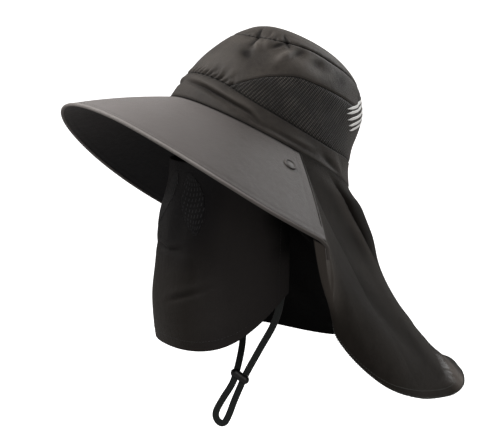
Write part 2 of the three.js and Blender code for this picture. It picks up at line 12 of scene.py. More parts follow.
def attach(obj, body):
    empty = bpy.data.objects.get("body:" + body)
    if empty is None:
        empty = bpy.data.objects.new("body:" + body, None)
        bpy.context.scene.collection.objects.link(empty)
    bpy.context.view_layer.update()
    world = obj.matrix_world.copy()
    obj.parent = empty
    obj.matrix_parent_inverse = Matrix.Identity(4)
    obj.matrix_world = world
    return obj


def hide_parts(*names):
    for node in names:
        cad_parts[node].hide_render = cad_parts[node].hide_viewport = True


MM = 0.001
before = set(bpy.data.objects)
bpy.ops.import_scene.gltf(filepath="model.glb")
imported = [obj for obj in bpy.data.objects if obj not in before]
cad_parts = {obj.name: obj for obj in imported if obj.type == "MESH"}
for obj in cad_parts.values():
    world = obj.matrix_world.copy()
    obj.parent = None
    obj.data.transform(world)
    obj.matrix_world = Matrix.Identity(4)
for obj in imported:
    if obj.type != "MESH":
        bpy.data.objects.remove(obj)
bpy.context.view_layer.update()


def table(columns, *rows):
    """Rows of numbers under named columns, as one array for each column."""
    return {name: np.array(column, float) for name, column in zip(columns.split(), zip(*rows))}


# Crown
HALF_LENGTH = 102.5
HALF_WIDTH = 81.0
CROWN_HEIGHT = 110.5
LEAN_BACK = np.radians(28.0)
MOUTH_DIP = 2.8
TOP_SHIFT = -1.6
# Brim
BRIM_REACH = 88.0
BRIM_DROP = 74.0
BRIM_WALL = 2.0
BINDING = 3.2
BRIM_MOUTH_END = 91.5
BRIM_RIM_END = 96.5
RIM_WAY = 0.985
# The brim's own breadth, and its length round from the front to one end, for its topstitch grooves.
BRIM_OUT = 100.0
BRIM_ROUND = 160.0
# Cape and mask
CAPE_LENGTH = 250.0
CAPE_CORNER = 0.66
CAPE_UNDER = 0.07
CAPE_END = 1.07
MASK_LENGTH = 176.0
MASK_HALF = 101.0
# Cloth, seams and cord
CLOTH = 1.4
SEAM = 0.4
CORD_WIDE = 7.0
CORD_THICK = 2.0
ROLL_WIDE = 1.6
# Laps that close the seams: the crown's strips over each other in mm, then the brim under the band, into
# its binding and under the cape as shares of its own extent, and the cape under the band as a share of its
# length.
STRIP_LAP = 0.12
BRIM_UNDER_BAND = 0.03
BRIM_IN_BINDING = 0.01
BRIM_UNDER_CAPE = 0.014
CAPE_UNDER_BAND = 0.009

# Outline of the crown from mouth to top: shares of its height and of its radius to the side, front and back.
CROWN = table(
    "up side front back",
    (0, 1, 1, 1),
    (0.06, 0.966, 0.99, 0.962),
    (0.16, 0.928, 0.968, 0.905),
    (0.3, 0.892, 0.936, 0.866),
    (0.45, 0.855, 0.881, 0.86),
    (0.6, 0.812, 0.811, 0.84),
    (0.73, 0.75, 0.72, 0.785),
    (0.84, 0.658, 0.616, 0.682),
    (0.92, 0.547, 0.513, 0.551),
    (0.975, 0.37, 0.354, 0.353),
    (1, 0, 0, 0),
)
CROWN["way"] = np.linspace(0, 1, len(CROWN["up"]))
# Seam lines by angle from the front, as shares of the way up the outline.
BAND_TOP = table(
    "at way",
    (0, 0.27),
    (30, 0.263),
    (55, 0.229),
    (85, 0.212),
    (112, 0.211),
    (140, 0.231),
    (180, 0.236),
)
MESH_TOP = table(
    "at way",
    (38, 0.262),
    (42, 0.284),
    (49, 0.343),
    (56, 0.39),
    (64, 0.43),
    (74, 0.468),
    (84, 0.483),
    (110, 0.508),
    (140, 0.52),
    (180, 0.525),
)
TIP_SEAM = table(
    "at way",
    (0, 0.61),
    (15, 0.62),
    (30, 0.633),
    (48, 0.66),
    (62, 0.692),
    (80, 0.722),
    (102, 0.72),
    (120, 0.716),
    (150, 0.695),
    (180, 0.685),
)
# Angle from the front where the mesh panel starts, and how far it reaches on under the wall, in degrees.
MESH_STARTS = 40.5
MESH_UNDER_WALL = 2.4
# Dents of the soft crown: angle, way up, spread in degrees and in way, depth in mm.
DENTS = table(
    "at way wide tall deep",
    (25, 0.61, 9, 0.05, 4),
    (43, 0.52, 10, 0.08, 1.8),
    (84, 0.6, 16, 0.05, 2.2),
    (70, 0.72, 12, 0.03, -1.2),
    (8, 0.4, 12, 0.06, 1.4),
    (140, 0.6, 18, 0.06, 1.6),
    (-32, 0.6, 14, 0.06, 2.4),
    (-80, 0.56, 18, 0.07, 2.2),
    (-130, 0.6, 18, 0.06, 1.6),
)
# Small gathers over the band's front, and the crease that slants down the band behind them.
GATHERS = {"at": 24, "wide": 14, "way": 0.31, "tall": 0.035, "pitch": 0.85, "deep": 0.9}
BAND_CREASE = {"at": 17, "way": 0.2, "fall": 0.0027, "tall": 0.018, "middle": 42, "wide": 20, "deep": 1.3}
# Brim by angle from the front, below 0 on the wearer's right: reach and drop as shares of the named sizes.
BRIM = table(
    "at reach drop",
    (-110, 0.976, 1.066),
    (-80, 0.954, 1.018),
    (-60, 0.95, 0.955),
    (-40, 0.961, 0.867),
    (-20, 0.979, 0.778),
    (0, 0.988, 0.709),
    (20, 0.979, 0.721),
    (40, 0.958, 0.8),
    (60, 0.942, 0.89),
    (80, 0.938, 0.953),
    (110, 0.955, 0.962),
)
# Cape from the middle of the back (0) to the brim's corner (1): the hem's place, the swells and the lift, as
# shares of its length.
CAPE = table(
    "at out back down out1 back1 out2 back2 lift",
    (0, 0, 0.895, 0.916, 0, -0.04, 0, -0.192, 0),
    (0.22, 0.224, 0.836, 0.942, 0, -0.056, 0, -0.2, 0.024),
    (0.42, 0.416, 0.676, 0.964, -0.008, -0.08, 0.008, -0.12, 0.056),
    (0.52, 0.472, 0.592, 0.974, -0.016, -0.088, 0.016, -0.056, 0.068),
    (0.68, 0.564, 0.397, 0.938, 0.008, -0.072, 0.032, 0.008, 0.072),
    (0.84, 0.604, 0.196, 0.852, 0.024, -0.04, 0.032, 0, 0.04),
    (1, 0.6, 0.017, 0.674, 0.008, -0.016, 0.008, 0, 0),
    (1.07, 0.592, -0.006, 0.566, 0, -0.012, 0, -0.02, 0),
)
CAPE_FOLD_COUNT = 5
CAPE_FOLD_DEEP = 0.01
# Mask from its top edge (0) to its hem (1), as shares of its length and half width.
MASK = table(
    "at front down wide edge edge_down",
    (0, 0.462, 0.085, 1, 0.12, 0.08),
    (0.15, 0.48, 0.216, 0.97, 0.116, 0.23),
    (0.35, 0.543, 0.398, 0.93, 0.114, 0.364),
    (0.6, 0.577, 0.636, 0.905, 0.114, 0.523),
    (0.85, 0.609, 0.892, 0.891, 0.114, 0.67),
    (1, 0.585, 1.085, 0.871, 0.114, 0.761),
)
TUCK = {"way": 0.52, "tall": 0.025, "wide": 0.3, "deep": 2.4}
PATCH = {"top": 0.06, "bottom": 0.42, "from": 0.08, "to": 0.31, "half": 0.13, "thread": 0.012}
SNAP = {"at": 84.0, "out": 0.27, "deep": 2.0}
# Turned profiles of a snap's cap and of its lower half: radius and height.
CAP_PROFILE = np.array([
    (0, 1.1), (1.8, 1.05), (3.2, 0.85), (4.0, 0.5), (4.5, 0.5), (4.9, 1.3), (5.5, 1.7),
    (6.1, 1.3), (6.45, 0.6), (6.5, 0.05), (6.2, 0.0), (0, 0.0),
])
SOCKET_PROFILE = np.array([
    (0, 0.0), (1.4, 0.0), (1.5, 0.9), (2.2, 0.95), (2.4, 0.1), (4.0, 0.1), (4.6, 0.7), (4.6, 1.4), (3.0, 2.0),
    (0, 2.0),
])
# Chin cord: where it is sewn inside the band, then out, back and down in mm to the slider.
CORD_SEWN = {"at": 85.0, "way": 0.07}
STRAND = table(
    "out back down",
    (75, -9.5, 16),
    (74, -10, 40),
    (70, -9, 80),
    (62, -6, 118),
    (50, -2.5, 150),
    (36, -2.5, 174),
    (20, -9.5, 201),
)
SLIDER = {"back": -22.0, "down": 232.0, "wide": 21.0, "high": 9.5, "thick": 8.0, "turn": np.radians(36.0)}
# Loop under the slider, across and down in mm, in the plane that faces the left front.
LOOP = table(
    "across down",
    (4.6, 0.6),
    (1, 9),
    (-5.4, 24),
    (-12, 41),
    (-16.5, 48),
    (-21.8, 45.5),
    (-24.6, 38),
    (-17.4, 23),
    (-8.2, 8.5),
    (-4.6, -0.6),
)
LOOP_FACES = np.radians(64.7)

# Camera, fitted to the photograph: where it stands, where it looks, and its focal length in mm.
CAMERA = {
    "azimuth": 64.7, "elevation": 6.6, "distance": 1.219, "target": (-0.00097, -0.02144, -0.07158),
    "lens": 92.6,
}
# Soft lamps: compass angle from the front, height angle, distance, size in metres, power, and colour.
LAMPS = (
    ("key", -8.0, 56.0, 1.8, 0.55, 32.0, (1.0, 0.985, 0.97)),
    ("side", 86.0, 14.0, 2.2, 1.6, 7.0, (1.0, 0.98, 0.96)),
    ("back", 185.0, 36.0, 1.8, 1.0, 19.0, (0.97, 0.99, 1.0)),
    ("right", 290.0, 30.0, 2.2, 1.4, 4.0, (1.0, 0.99, 0.98)),
)
LAMPS_AIM = (0, 0.01, -0.06)
SKY_STRENGTH = 0.3
# White floor: how far below the hat, the flat part's and the wall's radius, and the wall's height.
FLOOR = {"below": 620.0, "flat": 2600.0, "wall": 3600.0, "high": 1800.0}
# Middle of the hollow, from which every cloth faces away.
HOLLOW = np.array([0.0, 0.0, -60.0])


def toward_place(azimuth, elevation):
    """Direction from the hat to a place at a compass angle from the front and a height angle, in degrees."""
    a, e = np.radians(azimuth), np.radians(elevation)
    return Vector((np.sin(a) * np.cos(e), -np.cos(a) * np.cos(e), np.sin(e)))


def place_camera():
    """Camera on a ray from its target at the camera's angles, upright and looking back along the ray."""
    azimuth = np.radians(CAMERA["azimuth"])
    toward = toward_place(CAMERA["azimuth"], CAMERA["elevation"])
    across = Vector((np.cos(azimuth), np.sin(azimuth), 0))
    up = toward.cross(across)
    camera = bpy.data.objects.new("camera", bpy.data.cameras.new("camera"))
    bpy.context.scene.collection.objects.link(camera)
    turn = Matrix((across, up, toward)).transposed().to_4x4()
    camera.matrix_world = Matrix.Translation(Vector(CAMERA["target"]) + toward * CAMERA["distance"]) @ turn
    camera.data.sensor_fit = "HORIZONTAL"
    camera.data.sensor_width = 36.0
    camera.data.lens = CAMERA["lens"]
    camera.data.clip_start = 0.05
    camera.data.clip_end = 50.0
    bpy.context.scene.camera = camera


def along(rows, key, name, at):
    """Smooth curve through a table's column: a cubic between two rows, sloped by the rows around them."""
    xs, ys = rows[key], rows[name]
    at = np.clip(at, xs[0], xs[-1])
    last = len(xs) - 1
    i = np.clip(np.searchsorted(xs, at, side="right") - 1, 0, last - 1)
    low = np.maximum(np.arange(len(xs)) - 1, 0)
    high = np.minimum(np.arange(len(xs)) + 1, last)
    slopes = (ys[high] - ys[low]) / (xs[high] - xs[low])
    h = xs[i + 1] - xs[i]
    t = (at - xs[i]) / h
    ends = (2 * t**3 - 3 * t**2 + 1) * ys[i] + (3 * t**2 - 2 * t**3) * ys[i + 1]
    return ends + ((t**3 - 2 * t**2 + t) * slopes[i] + (t**3 - t**2) * slopes[i + 1]) * h


def over_middle(rows, key, odd=""):
    """The table with its second row mirrored before the first, so that its curve is level over the middle."""
    first = {name: (-column[1] if name == odd else column[1]) for name, column in rows.items()}
    first[key] = 2 * rows[key][0] - rows[key][1]
    return {name: np.concatenate([[first[name]], column]) for name, column in rows.items()}


def over_end(rows, key):
    """The table with its last row but one mirrored after the last."""
    last = {name: column[-2] for name, column in rows.items()}
    last[key] = 2 * rows[key][-1] - rows[key][-2]
    return {name: np.concatenate([column, [last[name]]]) for name, column in rows.items()}


def rows_of(rows, names):
    """Rows of a table, with the columns that are named."""
    return zip(*(rows[name] for name in names.split()))


BAND_ROWS = over_end(over_middle(BAND_TOP, "at"), "at")
MESH_ROWS = over_end(MESH_TOP, "at")
TIP_ROWS = over_end(over_middle(TIP_SEAM, "at"), "at")
CAPE_ROWS = over_middle(CAPE, "at", "out")


def xyz(x, y, z):
    """Points from three arrays of coordinates."""
    return np.stack(np.broadcast_arrays(x, y, z), -1).astype(float)


def unit(v):
    """Vectors scaled to length one."""
    return v / np.maximum(np.linalg.norm(v, axis=-1, keepdims=True), 1e-9)


def lean(p):
    """Points of the level crown turned back about the X axis by the crown's lean."""
    c, s = np.cos(LEAN_BACK), np.sin(LEAN_BACK)
    return xyz(p[..., 0], p[..., 1] * c + p[..., 2] * s, -p[..., 1] * s + p[..., 2] * c)


def bump(x):
    """Bell curve of height one and unit spread."""
    return np.exp(-(x**2))


def half_turn(deg):
    """Angles brought between -180 and 180 degrees."""
    return (deg + 180.0) % 360.0 - 180.0


def crown_at(deg, way, extra=0.0):
    """Crown by angle from the front and share of the way up: an oval whose radius follows the outline table.

    The side radius passes to the front and back radius with the squared cosine. Dents are bell-shaped, the
    mouth dips at the sides, and extra millimetres are taken off the radius.
    """
    deg, way = np.broadcast_arrays(np.asarray(deg, float), np.asarray(way, float))
    a = np.radians(deg)
    up = along(CROWN, "way", "up", way)
    side, front, back = (np.maximum(along(CROWN, "way", name, way), 0) for name in ("side", "front", "back"))
    c = np.cos(a)
    r = side + (front - side) * np.maximum(c, 0) ** 2 + (back - side) * np.maximum(-c, 0) ** 2
    deep = extra + 0 * a
    for at, level, wide, tall, depth in rows_of(DENTS, "at way wide tall deep"):
        deep = deep + depth * bump(half_turn(deg - at) / wide) * bump((way - level) / tall)
    among = bump((deg - GATHERS["at"]) / GATHERS["wide"]) * bump((way - GATHERS["way"]) / GATHERS["tall"])
    deep = deep + GATHERS["deep"] * among * np.sin(deg * GATHERS["pitch"])
    across = way - (BAND_CREASE["way"] - BAND_CREASE["fall"] * (deg - BAND_CREASE["at"]))
    within = np.exp(-(((deg - BAND_CREASE["middle"]) / BAND_CREASE["wide"]) ** 4))
    deep = deep + BAND_CREASE["deep"] * bump(across / BAND_CREASE["tall"]) * within
    r = r * (1 - deep / HALF_WIDTH)
    dip = MOUTH_DIP * np.sin(a) ** 2 * np.maximum(1 - up / 0.5, 0) ** 2
    y = TOP_SHIFT * up - HALF_LENGTH * r * c
    return lean(xyz(HALF_WIDTH * r * np.sin(a), y, CROWN_HEIGHT * up - dip))


def mouth_at(deg):
    """Edge of the mouth just under the band: an oval that dips at the sides."""
    a = np.radians(deg)
    return xyz(HALF_WIDTH * np.sin(a), -HALF_LENGTH * np.cos(a), -MOUTH_DIP * np.sin(a) ** 2 - 2 * SEAM)


def brim_at(deg, way):
    """Upper face of the brim: from the mouth outwards by the reach and down by the drop, a little bowed."""
    deg, way = np.broadcast_arrays(np.asarray(deg, float), np.asarray(way, float))
    a = np.radians(deg)
    reach = BRIM_REACH * along(BRIM, "at", "reach", deg)
    drop = BRIM_DROP * along(BRIM, "at", "drop", deg)
    bow = 0.1 * way * (1 - way)
    out = unit(xyz(np.sin(a) * HALF_LENGTH, -np.cos(a) * HALF_WIDTH, 0))
    p = mouth_at(deg) + out * (reach * (way + bow))[..., None]
    p[..., 2] -= drop * (way - bow)
    return lean(p)


def brim_end(way):
    """Angle of the brim's rear edge at a share of the way out."""
    return BRIM_MOUTH_END + (BRIM_RIM_END - BRIM_MOUTH_END) * way


def cape_top(at, side):
    """Top edge of the cape: round the mouth, down the brim's rear edge, then under its corner.

    The brim hangs a little lower on the wearer's right, so each side has its own edge, turned to the left.
    """
    round_mouth = lean(mouth_at(180 - (180 - BRIM_MOUTH_END - 1) * np.minimum(at / CAPE_CORNER, 1)))
    way = np.clip((at - CAPE_CORNER) / (1 - CAPE_CORNER), 0, 1) * RIM_WAY
    under = np.clip((at - 0.95) / 0.05, 0, 1)
    forward = np.maximum(at - 1, 0) / CAPE_UNDER
    down_brim = brim_at(side * (brim_end(way) - 4 * forward), way)
    behind = unit(brim_at(side * (brim_end(way) + 1), way) - brim_at(side * brim_end(way), way))
    down_brim = down_brim + behind * (4 * SEAM * (1 - forward))[..., None]
    down_brim[..., 0] *= side
    down_brim[..., 2] -= under * (BRIM_WALL + BINDING + 2 * SEAM)
    return np.where((at <= CAPE_CORNER)[..., None], round_mouth, down_brim)


def cape_at(u, v):
    """Cape from the right (u below 0) over the back (0) to the brim's left corner (1), top (0) to hem (1).

    Each column is a cubic curve from the top edge to the hem, pulled by two swells, with soft upright folds.
    """
    u, v = np.broadcast_arrays(np.asarray(u, float), np.asarray(v, float))
    a = np.abs(u)
    out, back, down, out1, back1, out2, back2, lift = (
        CAPE_LENGTH * along(CAPE_ROWS, "at", name, a)
        for name in "out back down out1 back1 out2 back2 lift".split()
    )
    top = cape_top(a, np.where(u < 0, -1, 1))
    hem = xyz(out, back, -down + np.where(u < 0, lift, 0))
    upper = top + (hem - top) / 3 + xyz(out1, back1, 0)
    lower = top + (hem - top) * 2 / 3 + xyz(out2, back2, 0)
    t = v[..., None]
    w = 1 - t
    p = w**3 * top + 3 * w**2 * t * upper + 3 * w * t**2 * lower + t**3 * hem
    fold = CAPE_LENGTH * CAPE_FOLD_DEEP * v**2 * np.cos(u * CAPE_FOLD_COUNT * np.pi)
    edge = CAPE_LENGTH * 0.01 * bump((a - 1.02) / 0.02) * v * (1.4 - v)
    outward = unit(xyz(hem[..., 0], hem[..., 1] * 0.7, 0))
    p = p + outward * (fold * np.maximum(1 - a**8, 0) - edge)[..., None]
    p[..., 0] *= np.where(u < 0, -1, 1)
    return p


def facing(surface, u, v, du, dv):
    """Outward directions of a surface: the cross product of two short steps, turned away from the hollow."""
    across = surface(u + du, v) - surface(u - du, v)
    upward = surface(u, v + dv) - surface(u, v - dv)
    n = unit(np.cross(across, upward))
    away = (n * (surface(u, v) - HOLLOW)).sum(-1, keepdims=True)
    return np.where(away < 0, -n, n)


def under_snap(side):
    """Top corner of the mask on one side, just under the snap's lower half, turned to the left."""
    out = facing(brim_at, side * SNAP["at"], SNAP["out"], 0.2, 0.004)
    p = brim_at(side * SNAP["at"], SNAP["out"]) - out * (BRIM_WALL + SEAM + SNAP["deep"])
    return xyz(side * p[..., 0] - CLOTH / 2, p[..., 1], p[..., 2])


def mask_at(u, v):
    """Mask from its right edge (-1) over the nose (0) to its left edge (1), and from top (0) to hem (1).

    Each level is half an oval from edge to edge that rises to the edges. Its top corners are drawn to the
    snaps.
    """
    u, v = np.broadcast_arrays(np.asarray(u, float), np.asarray(v, float))
    a = np.minimum(np.abs(u), 1)
    turn = a * np.pi / 2
    front, down, wide, edge, edge_down = (
        along(MASK, "at", name, v) for name in ("front", "down", "wide", "edge", "edge_down")
    )
    x = MASK_HALF * wide * np.sin(turn) ** 0.9 * np.sign(u)
    tuck = TUCK["deep"] * bump((v - TUCK["way"]) / TUCK["tall"]) * bump(u / TUCK["wide"])
    y = -MASK_LENGTH * (front + (edge - front) * (1 - np.cos(turn).clip(0) ** 0.9)) + tuck
    z = -MASK_LENGTH * (down + (edge_down - down) * a ** (1.7 + 2.2 * v))
    top_edge, top_down = MASK["edge"][0], MASK["edge_down"][0]
    corner = xyz(MASK_HALF * MASK["wide"][0], -MASK_LENGTH * top_edge, -MASK_LENGTH * top_down)
    snaps = np.where((u < 0)[..., None], under_snap(-1), under_snap(1))
    shift = (snaps - corner) * (a**8 * (1 - v.clip(0, 1)) ** 4)[..., None]
    return xyz(x + shift[..., 0] * np.sign(u), y + shift[..., 1], z + shift[..., 2])


def steps_to_edges(size, count, wall, both=True):
    """Shares from 0 to 1, even in the middle and close together within half a wall of the ends."""
    near = wall / 2 / size * np.array([0, 0.12, 0.45, 1.0])
    middle = np.linspace(near[-1], 1 - near[-1] if both else 1, count)
    far = (1 - near[:-1])[::-1] if both else []
    return np.concatenate([near[:-1], middle, far])


def lengths(points, axis):
    """Distance run along one axis of a grid of points, starting at 0."""
    run = np.linalg.norm(np.diff(points, axis=axis), axis=-1).cumsum(axis)
    return np.concatenate([np.zeros_like(np.take(run, [0], axis)), run], axis)


def grid_normals(points, ring, pole):
    """Directions square to a grid, from the differences to its neighbours, turned away from the hollow."""
    across = (np.roll(points, -1, 0) - np.roll(points, 1, 0)) if ring else np.gradient(points, axis=0)
    n = unit(np.cross(across, np.gradient(points, axis=1)))
    if pole:
        n[:, -1] = unit(n[:, -2].mean(0))
    away = (n * (points - HOLLOW)).sum(-1)
    return n if away.mean() > 0 else -n


def shell(points, wall, ring=False, pole=False, roll=(0.0, 0.0)):
    """Closed wall of cloth under a grid of outer points: outer and inner face meet in a rounded edge.

    The half thickness follows a quarter circle within half a wall of each edge, and the first and last row
    may roll inwards by a depth that fades out over the roll's width.
    """
    nu, nv = points.shape[:2]
    n = grid_normals(points, ring, pole)
    up = lengths(points, 1)
    down = up[:, -1:] - up
    to_end = np.full((nu, nv), 1e3) if pole else down
    sides = np.full((nu, nv), 1e3)
    if not ring:
        run = lengths(points, 0)
        sides = np.minimum(run, run[-1:] - run)
    edge = np.minimum(np.minimum(up, to_end), sides)
    share = 1 - np.minimum(edge / (wall / 2), 1)
    half = wall / 2 * np.sqrt(np.maximum(1 - share**2, 0))[..., None]
    dip = roll[0] * bump(up / ROLL_WIDE) + roll[1] * bump(to_end / ROLL_WIDE)
    middle = points - n * (wall / 2 + dip)[..., None]
    around = lengths(points, 0)[:, nv // 2]
    closing = np.linalg.norm(points[0, nv // 2] - points[-1, nv // 2])
    return middle + n * half, middle - n * half, edge, around, up, closing, n


def write_mesh(name, points, faces, uvs, attributes=None):
    """Mesh object from points in millimetres, groups of faces with equal corners, and UVs for each corner."""
    mesh = bpy.data.meshes.new(name)
    used, back = np.unique(np.concatenate([f.ravel() for f in faces]), return_inverse=True)
    counts = np.concatenate([np.full(len(f), f.shape[1]) for f in faces])
    mesh.vertices.add(len(used))
    mesh.vertices.foreach_set("co", (points[used] * MM).astype(np.float32).ravel())
    mesh.loops.add(len(back))
    mesh.loops.foreach_set("vertex_index", back.astype(np.int32))
    mesh.polygons.add(len(counts))
    mesh.polygons.foreach_set("loop_start", np.concatenate([[0], counts.cumsum()[:-1]]).astype(np.int32))
    mesh.polygons.foreach_set("loop_total", counts.astype(np.int32))
    mesh.update(calc_edges=True)
    layer = mesh.uv_layers.new(name="cloth")
    flat = np.concatenate([uv.reshape(-1, 2) for uv in uvs]) * MM
    layer.data.foreach_set("uv", flat.astype(np.float32).ravel())
    for label, values in (attributes or {}).items():
        field = mesh.attributes.new(label, "FLOAT", "POINT")
        field.data.foreach_set("value", values[used].astype(np.float32))
    mesh.validate()
    mesh.shade_smooth()
    piece = bpy.data.objects.new(name, mesh)
    bpy.context.scene.collection.objects.link(piece)
    return piece


def cloth_piece(name, points, wall, ring=False, pole=False, roll=(0.0, 0.0), fields=None):
    """Cloth wall as an object: outer and inner grid, sharing their edge points, with UVs in true lengths."""
    outer, inner, edge, around, up, closing, n = shell(points, wall, ring, pole, roll)
    nu, nv = points.shape[:2]
    total = nu * nv
    index = np.arange(total).reshape(nu, nv)
    under = index + total
    if not pole:
        under[:, -1] = index[:, -1]
    under[:, 0] = index[:, 0]
    if not ring:
        under[0], under[-1] = index[0], index[-1]
    if pole:
        index[:, -1] = index[0, -1]
        under[:, -1] = under[0, -1]
    i = np.arange(nu if ring else nu - 1)
    k = (i + 1) % nu
    j = np.arange(nv - 1)
    reach = np.concatenate([around, [around[-1] + closing]])
    u_of = np.stack([reach[i], reach[i + 1], reach[i + 1], reach[i]], -1)[:, None, :] + 0 * j[None, :, None]
    corners_v = np.stack([up[i][:, j], up[k][:, j], up[k][:, j + 1], up[i][:, j + 1]], -1)
    uv = np.stack([u_of, corners_v], -1)

    def quads(grid):
        """The four corners of every cell of a grid of point numbers."""
        return np.stack([grid[i][:, j], grid[k][:, j], grid[k][:, j + 1], grid[i][:, j + 1]], -1)

    first = outer[k[0], 0] - outer[0, 0]
    outwards = (np.cross(first, outer[0, 1 if nv < 8 else 4] - outer[0, 0]) * n[0, 0]).sum() > 0
    faces, uvs = [], []
    for grid, same in ((index, True), (under, False)):
        q, w = quads(grid), uv
        if outwards != same:
            q, w = q[..., ::-1], w[..., ::-1, :]
        if pole:
            tri = q[:, -1]
            keep = [0, 1, 2] if outwards == same else [1, 2, 3]
            faces += [q[:, :-1].reshape(-1, 4), tri[:, keep]]
            uvs += [w[:, :-1].reshape(-1, 4, 2), w[:, -1][:, keep]]
        else:
            faces.append(q.reshape(-1, 4))
            uvs.append(w.reshape(-1, 4, 2))
    flat = np.concatenate([outer.reshape(-1, 3), inner.reshape(-1, 3)])
    values = {"edge_mm": np.tile(edge.ravel(), 2), "inside": np.repeat([0.0, 1.0], total)}
    for label, field in (fields or {}).items():
        values[label] = np.tile(np.broadcast_to(field, (nu, nv)).ravel(), 2)
    return write_mesh(name, flat, faces, uvs, values)


def faces_in(points, quads):
    """Whether four-cornered faces point inwards: their signed volume is below 0."""
    a, b, c, d = (points[quads[:, i]] for i in range(4))
    return (a * (np.cross(b, c) + np.cross(c, d))).sum() < 0


def sweep(name, path, normals, wide, thick, sides=12, power=2.0, swell=None):
    """Rounded flat band along a path: a super-oval of the given width and thickness, with closed ends.

    The section's width lies square to the path and the normal, its thickness along the normal.
    """
    count = len(path)
    t = unit(np.gradient(path, axis=0))
    across = unit(np.cross(t, normals))
    flat = np.cross(across, t)
    w = (np.arange(sides) + 0.5) / sides * 2 * np.pi
    c, s = np.cos(w), np.sin(w)
    ring = (np.abs(c) ** (2 / power) * np.sign(c), np.abs(s) ** (2 / power) * np.sign(s))
    size = np.ones(count) if swell is None else swell
    points = path[:, None] + across[:, None] * (ring[0][None, :] * wide / 2 * size[:, None])[..., None]
    points = points + flat[:, None] * (ring[1][None, :] * thick / 2 * size[:, None])[..., None]
    run = lengths(path[:, None], 0)[:, 0]
    i = np.arange(count - 1)[:, None]
    k = np.arange(sides)[None, :]
    a, b = i * sides, (i + 1) * sides
    m = (k + 1) % sides
    quads = np.stack([a + k, a + m, b + m, b + k], -1).reshape(-1, 4)
    girth = (wide + thick) * 1.6
    u = np.stack([k, k + 1, k + 1, k], -1) / sides * girth + 0.0 * i[..., None]
    v = np.stack([run[i], run[i], run[i + 1], run[i + 1]], -1) + 0.0 * k[..., None]
    ends = np.stack([path[0] - t[0] * thick * 0.3, path[-1] + t[-1] * thick * 0.3])
    points = np.concatenate([points.reshape(-1, 3), ends])
    start, end = count * sides, count * sides + 1
    near = np.arange(sides)
    after = (near + 1) % sides
    last = (count - 1) * sides
    caps = [np.stack([np.full(sides, start), after, near], -1)]
    caps.append(np.stack([np.full(sides, end), last + near, last + after], -1))
    faces = [quads, np.concatenate(caps)]
    uvs = [np.stack([u, v], -1).reshape(-1, 4, 2), np.zeros((2 * sides, 3, 2))]
    if faces_in(points, quads):
        faces = [f[:, ::-1] for f in faces]
        uvs = [uv[:, ::-1] for uv in uvs]
    return write_mesh(name, points, faces, uvs)


def stitch_row(path, normals, pitch, length, thread, lift=0.1, slant=0.0):
    """Places of a row of stitches: centre, direction and normal at even distances along a path.

    Each stitch lies along the path, or turned from it by the slant angle in its surface.
    """
    run = lengths(path[:, None], 0)[:, 0]
    at = np.arange(pitch / 2, run[-1] - pitch / 2, pitch)
    centre = np.stack([np.interp(at, run, path[:, i]) for i in range(3)], -1)
    n = unit(np.stack([np.interp(at, run, normals[:, i]) for i in range(3)], -1))
    ahead = np.stack([np.interp(at + 0.2, run, path[:, i]) for i in range(3)], -1)
    t = unit(ahead - np.stack([np.interp(at - 0.2, run, path[:, i]) for i in range(3)], -1))
    side = np.cross(n, t)
    t = t * np.cos(slant) + side * np.sin(slant)
    return centre + n * lift, t, n, np.full(len(at), length), np.full(len(at), thread)


def stitches(name, rows):
    """Rows of stitches as one mesh: each a six-sided bead of thread with round ends, bent over its middle."""
    centre, t, n, length, thread = (np.concatenate(column) for column in zip(*rows))
    b = unit(np.cross(n, t))
    along_it = np.array([-0.5, -0.42, -0.2, 0.2, 0.42, 0.5])
    girth = np.array([0.25, 0.8, 1.0, 1.0, 0.8, 0.25]) / 2
    sag = -np.array([0.5, 0.28, 0.0, 0.0, 0.28, 0.5])
    w = np.arange(6) / 6 * 2 * np.pi
    c = np.cos(w)[None, None, :, None] * girth[None, :, None, None]
    s = np.sin(w)[None, None, :, None] * girth[None, :, None, None]
    size = thread[:, None, None, None]
    steps = along_it[None, :, None, None] * length[:, None, None, None]
    points = centre[:, None, None] + t[:, None, None] * steps
    points = points + b[:, None, None] * c * size
    points = points + n[:, None, None] * (s + sag[None, :, None, None] * 0.8) * size
    i = np.arange(5)[:, None]
    k = np.arange(6)[None, :]
    m = (k + 1) % 6
    cell = np.stack([i * 6 + k, i * 6 + m, (i + 1) * 6 + m, (i + 1) * 6 + k], -1).reshape(-1, 4)
    caps = np.array([[0, 5, 4, 3, 2, 1], [30, 31, 32, 33, 34, 35]])
    base = np.arange(len(centre))[:, None, None] * 36
    faces = [(cell[None] + base).reshape(-1, 4), (caps[None] + base).reshape(-1, 6)]
    first, second, third = (points[0, row, corner] - centre[0] for row, corner in ((2, 0), (2, 1), (3, 1)))
    if np.dot(first, np.cross(second, third)) < 0:
        faces = [f[:, ::-1] for f in faces]
    uvs = [np.zeros((len(f), f.shape[1], 2)) for f in faces]
    return write_mesh(name, points.reshape(-1, 3), faces, uvs)


